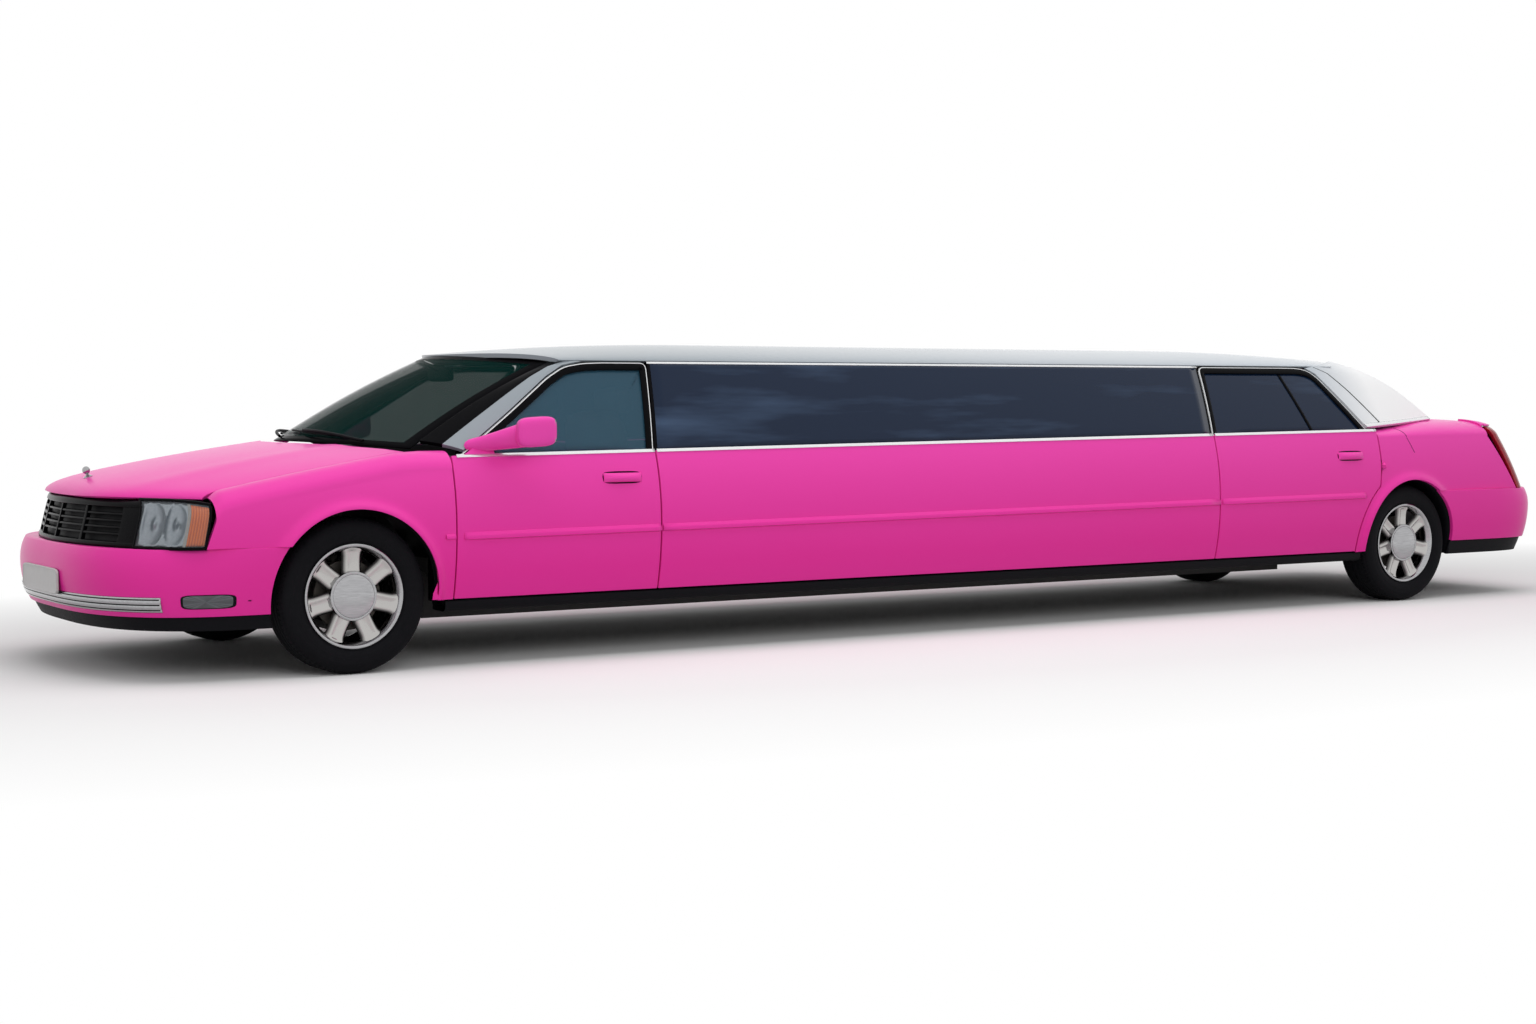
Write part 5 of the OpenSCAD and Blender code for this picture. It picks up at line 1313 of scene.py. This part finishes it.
MIRROR = np.array([FA - 797, 1037, 1031])
shell = superellipsoid(MIRROR, (96, 41, 66), 40, 0.5)
shell[..., 2] -= 0.05 * (shell[..., 0] - MIRROR[0])
shell[..., 0] += 0.22 * (shell[..., 1] - MIRROR[1])
u, v = shares(20, 20)
crown = (1 - np.abs(1 - 2 * u) ** 3) * (1 - np.abs(1 - 2 * v) ** 3)
mirror_glass = MIRROR + points(-80 - 5 * crown, 62 * (u - 0.5), 4 + 96 * (v - 0.5))
u, v = shares(12, 12)
plate_foot = [[DOOR_LEAD - x, belt_z(DOOR_LEAD - x) + 4] for x in (62, 210)]
low_x, low_z = along(plate_foot, u)
high_x, high_z = mix(DOOR_LEAD - 186, DOOR_LEAD - 196, u), mix(1004, 1010, u)
sail_plate = on_glass(mix(low_x, high_x, v), mix(low_z, high_z, v), 17)
u = np.linspace(0, 1, 13)[:, None]
turn_v = round_angles(16)[:, 0]
grow = ease(u)
arm_mid = mix(np.array([DOOR_LEAD - 150, 862, 972.0]), np.array([FA - 802, 1034, 1028.0]), u)[:, None]
arm = arm_mid + points(mix(76, 78, grow) * np.cos(turn_v), 0, mix(34, 56, grow) * np.sin(turn_v))
on_doors("front", "mirror_shell", shell, PINK, stands_for="mirror", wrap_u=True)
on_doors("front", "mirror_arm", arm, PINK, wrap_v=True)
on_doors("front", "mirror_plate", sail_plate, PINK, 15, 2)
on_doors("front", "mirror_glass", mirror_glass[:, ::-1], CHROME, 3)

# %% [markdown]
# ## Cowl and wipers
# Under the windscreen's foot lies a black trough with the two wipers parked in it. Each wiper is an arm and a blade,
# both carried along lines that lie just above the glass.

# %% Cowl and wipers
u, v = shares(10, 60)
e = 1 - 2 * v
cowl = points(mix(FA - 17, FA - 105, u) - 272 * e * e, 786 * e,
              mix(940, 956, u) - 20 * e * e + 3 * np.sin(24 * pi * u))


def above_screen(y, u, lift):
    """A point above the windscreen: y across the car, u its share up the glass."""
    return on_screen(y / screen_half(u), u) + points(lift * 0.5, 0, lift)


s = np.linspace(0, 1, 30)
wipers = []
for pivot in (530, -130):
    arm_line = above_screen(mix(pivot, pivot - 470, s), mix(0.01, 0.075, s), 14 + 10 * np.sin(pi * s))
    blade_line = above_screen(mix(pivot - 120, pivot - 640, s), mix(0.05, 0.085, s), 7 + 0 * s)
    wipers += [rim_tube(arm_line, 7), rim_tube(blade_line, 5)]
piece("cowl_trough", [cowl], BLACK_TRIM, 12, 2, stands_for="cowl")
piece("wipers", wipers, BLACK_TRIM, wrap_v=True)

# %% [markdown]
# ## Linings under the skin
# A real car is closed by liners and splash panels that nobody looks at, but without them light would come through
# under the arches and beside the engine. Between each wheel liner and the skin runs a black strip of a cylinder; the
# front one is a cone, which leaves room for the steered wheel.

# %% Arch linings
u, v = shares(60, 6)
inner_half, outer_half = np.clip(1 - 2 * v, 0, 1), np.clip(2 * v - 1, 0, 1)
linings = []
for axle_x, arch_r, deep, widen, turn_to in ((FA, FRONT_ARCH_R, 44, 72, 0.05), (RA, REAR_ARCH_R, 230, 0, 0.2)):
    a = mix(-0.05, pi + turn_to, u)
    r = arch_r + 5 + widen * inner_half
    x, z = axle_x + r * np.cos(a), TYRE_R + r * np.sin(a)
    y = side_y(x, np.maximum(z, SILL_Z)) - mix(deep, 8, outer_half)
    linings += both(points(x, mix(y, 790, inner_half * (widen > 0)), z))
piece("arch_linings", linings, BLACK_TRIM, 3)

# %% [markdown]
# Upright splash walls close the wheel wells towards the car's middle. Flat boards close the engine bay from below, at
# the firewall and behind the lamps, and the boot floor beside its well. Blocks fill the sills' ends at the door gaps.

# %% Splash walls and boards
WALL_FOOT, TRAY_Z, BOOT_FLOOR_Z, NOSE_BOARD_Z = 206, 238, 424, 330
BOOT_END, WELL_FROM = RA - 1075, RA - 560
u, v = shares(40, 20)
walls = []
for x_from, x_to, y_at, z_top in ((FA + 470, FA - 340, 335, 640), (RA + 120, RA - 760, 430, 540)):
    x = mix(x_from, x_to, u)
    top = np.interp(x, [WELL_FROM, WELL_FROM + 70], [408, z_top])
    walls += both(points(x, y_at + 12 * np.sin(pi * u) * np.sin(pi * v), mix(WALL_FOOT, top, v)))
x = mix(RA - 400, BOOT_END, u)
boot_wing = points(x, mix(550, np.interp(x, [BOOT_END, RA - 800], [690, 850]), v), BOOT_FLOOR_Z + 6 * v)
tray = points(mix(FA + 840, FA - 390, u), mix(455, -455, v), TRAY_Z + 10 * (2 * v - 1) ** 2)
firewall_wing = points(FA - 402 + 0 * u, mix(800, 440, u), mix(560, 900, v))
x = mix(FA + 800, FA + 462, u)
nose_wing = points(x, mix(400, np.interp(x, [FA + 462, FA + 800], [905, 780]), v), NOSE_BOARD_Z + 8 * v)
piece("splash_walls", walls, BLACK_TRIM, 5, slot="chassis")
piece("boot_floor_wings", both(boot_wing), BLACK_TRIM, 4, slot="chassis")
piece("engine_tray", [tray], BLACK_TRIM, 4, slot="chassis")
piece("bay_boards", both(firewall_wing, nose_wing), BLACK_TRIM, 4, slot="chassis")

# %% Sill blocks
BLOCK_Y, BLOCK_Z = 750, 317
blocks = [superellipsoid((x_mid, BLOCK_Y, BLOCK_Z), (half, 62, 55), 16, 0.2) for x_mid, half in
          ((DOOR_LEAD - 18, 28), (DOOR_TRAIL, 45), (REAR_DOOR_LEAD - 18, 45), (RA + 436, 38))]
piece("sill_blocks", both(*blocks), BLACK_TRIM, wrap_u=True)

# %% [markdown]
# ## Tyres
# A tyre is a turned profile with a pattern pressed into it. The grooves are worked into the radius itself: four rings
# round the tread, and slanted cuts whose phase goes with the angle and turns over at the middle.

# %% Tyres
RIM_R, BEAD_R, CUTS_ROUND = 224, 212, 45
outline = np.array([[BEAD_R, 92], [RIM_R + 5, 93], [RIM_R + 12, 101], [RIM_R + 30, 110], [RIM_R + 50, 112.3],
                    [TYRE_R - 52, 112.4], [TYRE_R - 36, 110.8], [TYRE_R - 22, 104], [TYRE_R - 12, 95],
                    [TYRE_R - 5, 83], [TYRE_R - 1, 68], [TYRE_R, 50], [TYRE_R, 0]])
half = rounded(outline, 90, 2)
profile = np.vstack([half, half[-2::-1] * (1, -1)])
angle = round_angles(360)
radius, across = profile[:, 0] + 0 * angle, profile[:, 1] + 0 * angle
tread = ease((radius - (TYRE_R - 14)) / 8) * (np.abs(across) < 96)
rings = np.max([np.exp(-((across - place) / 3.6) ** 4) for place in (-52, -18, 18, 52)], axis=0)
shoulder_cuts = (np.abs(np.sin(CUTS_ROUND * angle + 0.035 * np.abs(across))) < 0.22) * (np.abs(across) > 56)
centre_cuts = (np.abs(np.sin(CUTS_ROUND * angle - 0.05 * across)) < 0.12) * (np.abs(across) < 50) * 0.5
wall_ribs = 1.1 * np.exp(-((radius - (RIM_R + 44)) / 2.2) ** 2) + 0.9 * np.exp(-((radius - (TYRE_R - 46)) / 2) ** 2)
radius = radius - tread * np.maximum(7 * rings, np.maximum(5 * shoulder_cuts, 5 * centre_cuts))
across = across + np.sign(across) * (wall_ribs - 0.9)
tyre = points(radius * np.sin(angle), across, radius * np.cos(angle))
WHEELS = {"front_left": (FA, FRONT_Y, 1), "front_right": (FA, FRONT_Y, -1),
          "rear_left": (RA, REAR_Y, 1), "rear_right": (RA, REAR_Y, -1)}


def on_wheel(place, name, sheets, material, wall=0.0, edge=0.0, **more):
    """A piece moved from a wheel's own frame, whose outer face looks along +Y, to its place on the car."""
    x, y, side = WHEELS[place]
    moved = [sheet + (x, y, TYRE_R) for sheet in sheets]
    piece(name, moved if side > 0 else list(map(other_side, moved)), material, wall, edge, f"wheel_{place}", **more)


for place in WHEELS:
    on_wheel(place, f"tyre_{place}_tread", [tyre], RUBBER, stands_for=f"tyre_{place}", wrap_u=True, sharp=40)

# %% [markdown]
# ## Rims
# The chromed rim has seven wide spokes with a shallow flute down each one, a deep barrel, a bright lip and a large
# domed cap. A spoke is a grid along the radius and across, so the flute and the rounded flanks are plain formulas.

# %% Spokes
SPOKES, SPOKE_FOOT = 7, 62
u, v = shares(28, 24)
r = mix(SPOKE_FOOT, RIM_R - 18, u)
c = 2 * v - 1
wide = mix(46, 42, u) + 4 * u ** 4 + 10 * np.exp(-((1 - u) / 0.12) ** 2)
flute = 7 * np.exp(-(c / 0.42) ** 4) * ease(u / 0.25) * ease((1 - u) / 0.12)
face = mix(80, 84, u) - 6 * np.sin(pi * u) - flute - 16 * np.abs(c) ** 5 + 3 * ease((u - 0.85) / 0.15)
spokes = [points(r * np.sin(a) + wide * c * np.cos(a), face, r * np.cos(a) - wide * c * np.sin(a))
          for a in (2 * pi * k / SPOKES for k in range(SPOKES))]
print(SPOKES, "spokes of", spokes[0].shape[:2], "points")

# %% Rims
def turned(profile, count=160):
    """A profile of [radius, y] carried round the wheel's axis."""
    profile = np.asarray(profile, float)
    a = round_angles(count)
    return points(profile[:, 0] * np.sin(a), profile[:, 1] + 0 * a, profile[:, 0] * np.cos(a))


lip = np.array([[RIM_R - 27, -101], [RIM_R, -101], [RIM_R + 1, -94], [BEAD_R, -91], [BEAD_R - 12, -60],
                [BEAD_R - 12, 60], [BEAD_R, 91], [RIM_R + 1, 94], [RIM_R + 0.5, 100], [RIM_R - 3, 102],
                [RIM_R - 8, 101], [RIM_R - 13, 96], [RIM_R - 17, 88], [RIM_R - 22, 82], [RIM_R - 27, 70],
                [RIM_R - 28, 20], [RIM_R - 40, -40], [RIM_R - 30, -96]])
dome = np.linspace(0, pi / 2, 14)
cap = np.vstack([[[70, 40], [104, 46], [107, 84], [105, 89], [100, 91], [97, 90]],
                 np.stack([95 * np.cos(dome), 90 + 13 * np.sin(dome)], -1)[:-1], [[0.01, 103]]])
hub = [[34, -58], [70, -58], [70, 40], [40, 41]]
disc = [[60, 6], [60, 14], [150, 14], [152, 12], [152, 6]]
round_piece = dict(wrap_u=True, sharp=35)
for place in WHEELS:
    on_wheel(place, f"rim_{place}_barrel", [turned(lip)], CHROME, stands_for=f"rim_{place}", **round_piece)
    on_wheel(place, f"rim_{place}_spokes", spokes, SPOKE, 22, 3)
    on_wheel(place, f"rim_{place}_cap", [turned(cap)], CHROME, **round_piece)
    on_wheel(place, f"rim_{place}_hub", [turned(hub, 48)], IRON, **round_piece)
    on_wheel(place, f"brake_disc_{place}", [turned(disc, 96)], IRON, **round_piece)

# %% [markdown]
# ## Seats
# Leather seats are foam pads under a sewn cover: each pad is crowned, its sides pull in between the corners, and sewn
# channels run across it. A rounded box gives the pad, and the channels are pressed into its crown by a wave. The pads
# lie behind tinted glass, so this is done by formula and not by a cloth simulation.

# %% Seat pads
LOUNGE_FROM, LOUNGE_TO = REAR_DOOR_LEAD + 140, DOOR_TRAIL - 800
SEAT_Y = (380, -380)


def leaned(sheet, lean):
    """A sheet turned about the Y axis by an angle."""
    x, y, z = np.moveaxis(sheet, -1, 0)
    return points(x * np.cos(lean) + z * np.sin(lean), y, z * np.cos(lean) - x * np.sin(lean))


def pad(middle, half, lean, channels, along_y=False):
    """A crowned cushion: a superellipsoid, pinched between its corners, with channels, leaned back about Y."""
    x, y, z = np.moveaxis(superellipsoid((0, 0, 0), half, 36, 0.45), -1, 0)
    pinch = 1 - 0.04 * (np.abs(x / half[0]) > 0.5) * np.cos(pi / 2 * y / half[1])
    across = y / half[1] if along_y else x / half[0]
    groove = 7 * np.exp(-((np.abs(np.mod(across * channels / 2, 1) - 0.5)) / 0.07) ** 2)
    z = z - np.sign(z) * groove * (np.abs(z) > 0.6 * half[2])
    return np.asarray(middle) + leaned(points(x * pinch, y, z), lean)


def cushions(name, sheets, stands_for):
    """Pads as one piece."""
    return piece(name, sheets, LEATHER, stands_for=stands_for, wrap_u=True)


front_pads = []
for y in SEAT_Y:
    front_pads += [pad((FA - 1180, y, 440), (225, 250, 80), 0.1, 5),
                   pad((FA - 1478, y, 800), (330, 240, 68), -1.42, 5),
                   pad((FA - 1545, y, 1160), (68, 130, 52), -1.42, 0.5)]
side_x, side_half = (LOUNGE_FROM + LOUNGE_TO) / 2, (LOUNGE_TO - LOUNGE_FROM) / 2
lounge_pads = [pad((RA + 860, 0, 425), (220, 615, 70), 0.07, 7, True),
               pad((RA + 585, 0, 770), (300, 610, 62), -1.38, 7, True),
               pad((side_x, -520, 420), (side_half, 215, 62), 0, 9),
               pad((side_x, -705, 640), (side_half, 52, 210), 0, 9)]
cushions("front_seat_pads", front_pads, "front_seats")
cushions("lounge_pads", lounge_pads, "lounge_seats")

# %% Seat bases
FLOOR_Z = 262


def plinth(x_from, x_to, y_from, y_to, z_to):
    """A rounded box base under a seat, from the floor up."""
    low, high = np.array([x_from, y_from, FLOOR_Z]), np.array([x_to, y_to, z_to])
    return superellipsoid((low + high) / 2, (high - low) / 2, 20, 0.2)


bases = [plinth(FA - 1440, FA - 980, y - 220, y + 220, 400) for y in SEAT_Y]
bases += [plinth(RA + 640, RA + 1060, -600, 600, 380), plinth(LOUNGE_FROM, LOUNGE_TO, -740, -310, 380)]
piece("seat_bases", bases, INSIDE_TRIM, wrap_u=True)

# %% [markdown]
# ## Dashboard and steering wheel
# The dashboard is an outline carried across the car and bowed a little, with a hood over the dials. The steering wheel
# is a ring, three spokes and a padded middle.

# %% Dashboard
DASH_HALF_W, DRIVER_Y = 690, 370
dash_line = rounded(np.array([[FA - 366.8, 738], [FA - 600, 700], [FA - 715, 768], [FA - 720, 850], [FA - 690, 882],
                              [FA - 640, 893], [FA - 450, 897], [FA - 336.1, 899]]), 48, 2)
u, v = shares(len(dash_line) - 1, 60)
y = mix(DASH_HALF_W, -DASH_HALF_W, v)
brow = 34 * np.exp(-((y - DRIVER_Y) / 190) ** 4) * np.exp(-((dash_line[:, :1] - (FA - 670)) / 60) ** 2)
dash = points(dash_line[:, :1] + 30 * (y / DASH_HALF_W) ** 2, y, dash_line[:, 1:] + brow)
piece("dashboard_skin", [dash[::-1]], INSIDE_TRIM, 8, stands_for="dashboard")

# %% Steering wheel
RING_R, RING_TUBE, COLUMN_R, COLUMN_LEAN = 178, 14, 26, radians(-68)
a, b = round_angles(72), round_angles(16)[:, 0]
reach = RING_R + RING_TUBE * np.cos(b)
ring = points(reach * np.cos(a), reach * np.sin(a), RING_TUBE * np.sin(b))
wheel_pad = superellipsoid((0, 0, -14), (52, 60, 26), 24, 0.6)
x, y, z = np.moveaxis(superellipsoid((100, 0, -4), (84, 16, 9), 16, 0.5), -1, 0)
wheel_spokes = [points(x * np.cos(turn) - y * np.sin(turn), x * np.sin(turn) + y * np.cos(turn), z)
                for turn in (0, 2 * pi / 3, -2 * pi / 3)]
column = points(COLUMN_R * np.cos(a), COLUMN_R * np.sin(a), mix(-190, -20, np.linspace(0, 1, 12)))


def on_column(sheet):
    """From the wheel's own frame to the car: leaned back by 68 degrees about Y."""
    return leaned(sheet, COLUMN_LEAN) + (FA - 840.3, DRIVER_Y, 824)


piece("steering_ring", [on_column(ring)], BLACK_TRIM, stands_for="steering_wheel", slot="inside_trim", wrap_u=True,
      wrap_v=True)
piece("steering_middle", [on_column(part) for part in (wheel_pad, *wheel_spokes, column)], INSIDE_TRIM, wrap_u=True)

# %% Inside mirror
rear_view = superellipsoid((HEADER_X - 20, 0, 1290), (14, 130, 36), 24, 0.45)
mirror_stem = rim_tube(np.linspace([HEADER_X - 15, 0, 1300], [HEADER_X + 62, 0, 1338], 10), 6)
piece("inside_mirror", [rear_view], BLACK_TRIM, slot="inside_trim", wrap_u=True)
piece("inside_mirror_stem", [mirror_stem], BLACK_TRIM, slot="inside_trim", wrap_v=True)

# %% [markdown]
# ## Solids that stay
# What lies under the car keeps its CAD shape and gets a fitting finish: coated chassis, cast iron, pipe steel.

# %% Finishes of the solids that stay
KEPT = {"underbody": CHASSIS, "front_suspension": CHASSIS, "rear_axle": CHASSIS, "wheel_liners": BLACK_TRIM,
        "pillars": GLOSS_BLACK, "engine": IRON, "exhaust": PIPE, "knuckle_left": IRON, "knuckle_right": IRON}
for name, material in KEPT.items():
    mesh = frame["nodes"][name].data
    mesh.materials.clear()
    mesh.materials.append(material)
print("finished solids:", ", ".join(KEPT))

# %% [markdown]
# ## Floor and light
# A plain pale studio: a white floor, a pale surround that cameras and reflections see at strength 1, and large soft
# lamps. Most light comes from above, so the upper sides are lighter than the lower ones, as in the photograph.

# %% Floor
FLOOR_HALF = 60
FLOOR_WHITE, FLOOR_LIGHT, WORLD_LIGHT = (0.93, 0.93, 0.93), 0.62, 0.4


def seen_rays(tree):
    """1 for rays from the camera, a reflection or a clear pane, and 0 for rays that only light the object."""
    path = tree.nodes.new("ShaderNodeLightPath")
    seen, mirrored, through = (Wire(tree, path.outputs[f"Is {kind} Ray"])
                               for kind in ("Camera", "Glossy", "Transmission"))
    return (seen + mirrored + through).clip()


def floor_paint(place, uv):
    """White where it is seen, and darker where it only throws light back on the car."""
    return {"Base_Color": (FLOOR_LIGHT + (1 - FLOOR_LIGHT) * seen_rays(place.tree)).tint((0, 0, 0), FLOOR_WHITE)}


floor_mesh = bpy.data.meshes.new("studio_floor")
corners = [(x * FLOOR_HALF, y * FLOOR_HALF, 0) for x, y in ((-1, -1), (1, -1), (1, 1), (-1, 1))]
floor_mesh.from_pydata(corners, [], [(0, 1, 2, 3)])
floor = bpy.data.objects.new("studio_floor", floor_mesh)
scene.collection.objects.link(floor)
studio_white = finish("studio_white", None, floor_paint, Roughness=0.95, Specular_IOR_Level=0.0)
floor_mesh.materials.append(studio_white)
print("floor of", 2 * FLOOR_HALF, "m")

# %% [markdown]
# Further from the car the floor turns into plain white light, so that no horizon shows. An ellipse round the car sets
# where: the length of a stretched place is 0.6 where the fade starts, and about 1 where it ends.

# %% Fade of the floor
FADE_SHAPE, FADE_FROM, FADE_OVER = (0.11, 0.25, 0), 0.6, 0.42
floor_tree = studio_white.node_tree
lit = Wire(floor_tree, floor_tree.nodes["Principled BSDF"].outputs[0])
reach = lit.node("ShaderNodeTexCoord", None, None, "Object").stretch(FADE_SHAPE)
distance = reach.node("ShaderNodeVectorMath", {"operation": "LENGTH"}, {0: reach}, "Value")
far = ((distance - FADE_FROM) / FADE_OVER).clip()
white = lit.node("ShaderNodeEmission", None, {"Color": (1, 1, 1, 1), "Strength": 1.0})
fade = lit.node("ShaderNodeMixShader", None, {0: far * seen_rays(floor_tree), 1: lit, 2: white})
floor_tree.links.new(fade.socket, floor_tree.nodes["Material Output"].inputs["Surface"])
print("floor fades with", len(floor_tree.nodes), "nodes")

# %% World and lamps
world = bpy.data.worlds.new("studio")
scene.world = world
world.use_nodes = True
tree = world.node_tree
background = tree.nodes["Background"]
background.inputs["Color"].default_value = (1, 1, 1, 1)
tree.links.new((WORLD_LIGHT + (1 - WORLD_LIGHT) * seen_rays(tree)).socket, background.inputs["Strength"])


def soft_lamp(name, place, aim, size, watts):
    """A large lamp that looks at a point and is left out of reflections."""
    data = bpy.data.lights.new(name, "AREA")
    data.shape, data.size, data.size_y, data.energy = "RECTANGLE", size[0], size[1], watts
    lamp = bpy.data.objects.new(name, data)
    lamp.location = place
    lamp.rotation_euler = (Vector(aim) - Vector(place)).to_track_quat("-Z", "Y").to_euler()
    lamp.visible_glossy = False
    scene.collection.objects.link(lamp)
    print(name, "lamp of", watts, "W")


soft_lamp("overhead", (0, 1.5, 8), (0, 0, 0), (14, 6), 430)
soft_lamp("camera_side", (3, 12, 6), (0, 0, 0.6), (12, 5), 400)
soft_lamp("nose", (12, 3, 5), (4, 0, 0.6), (5, 4), 90)
scene.view_settings.view_transform = "Standard"
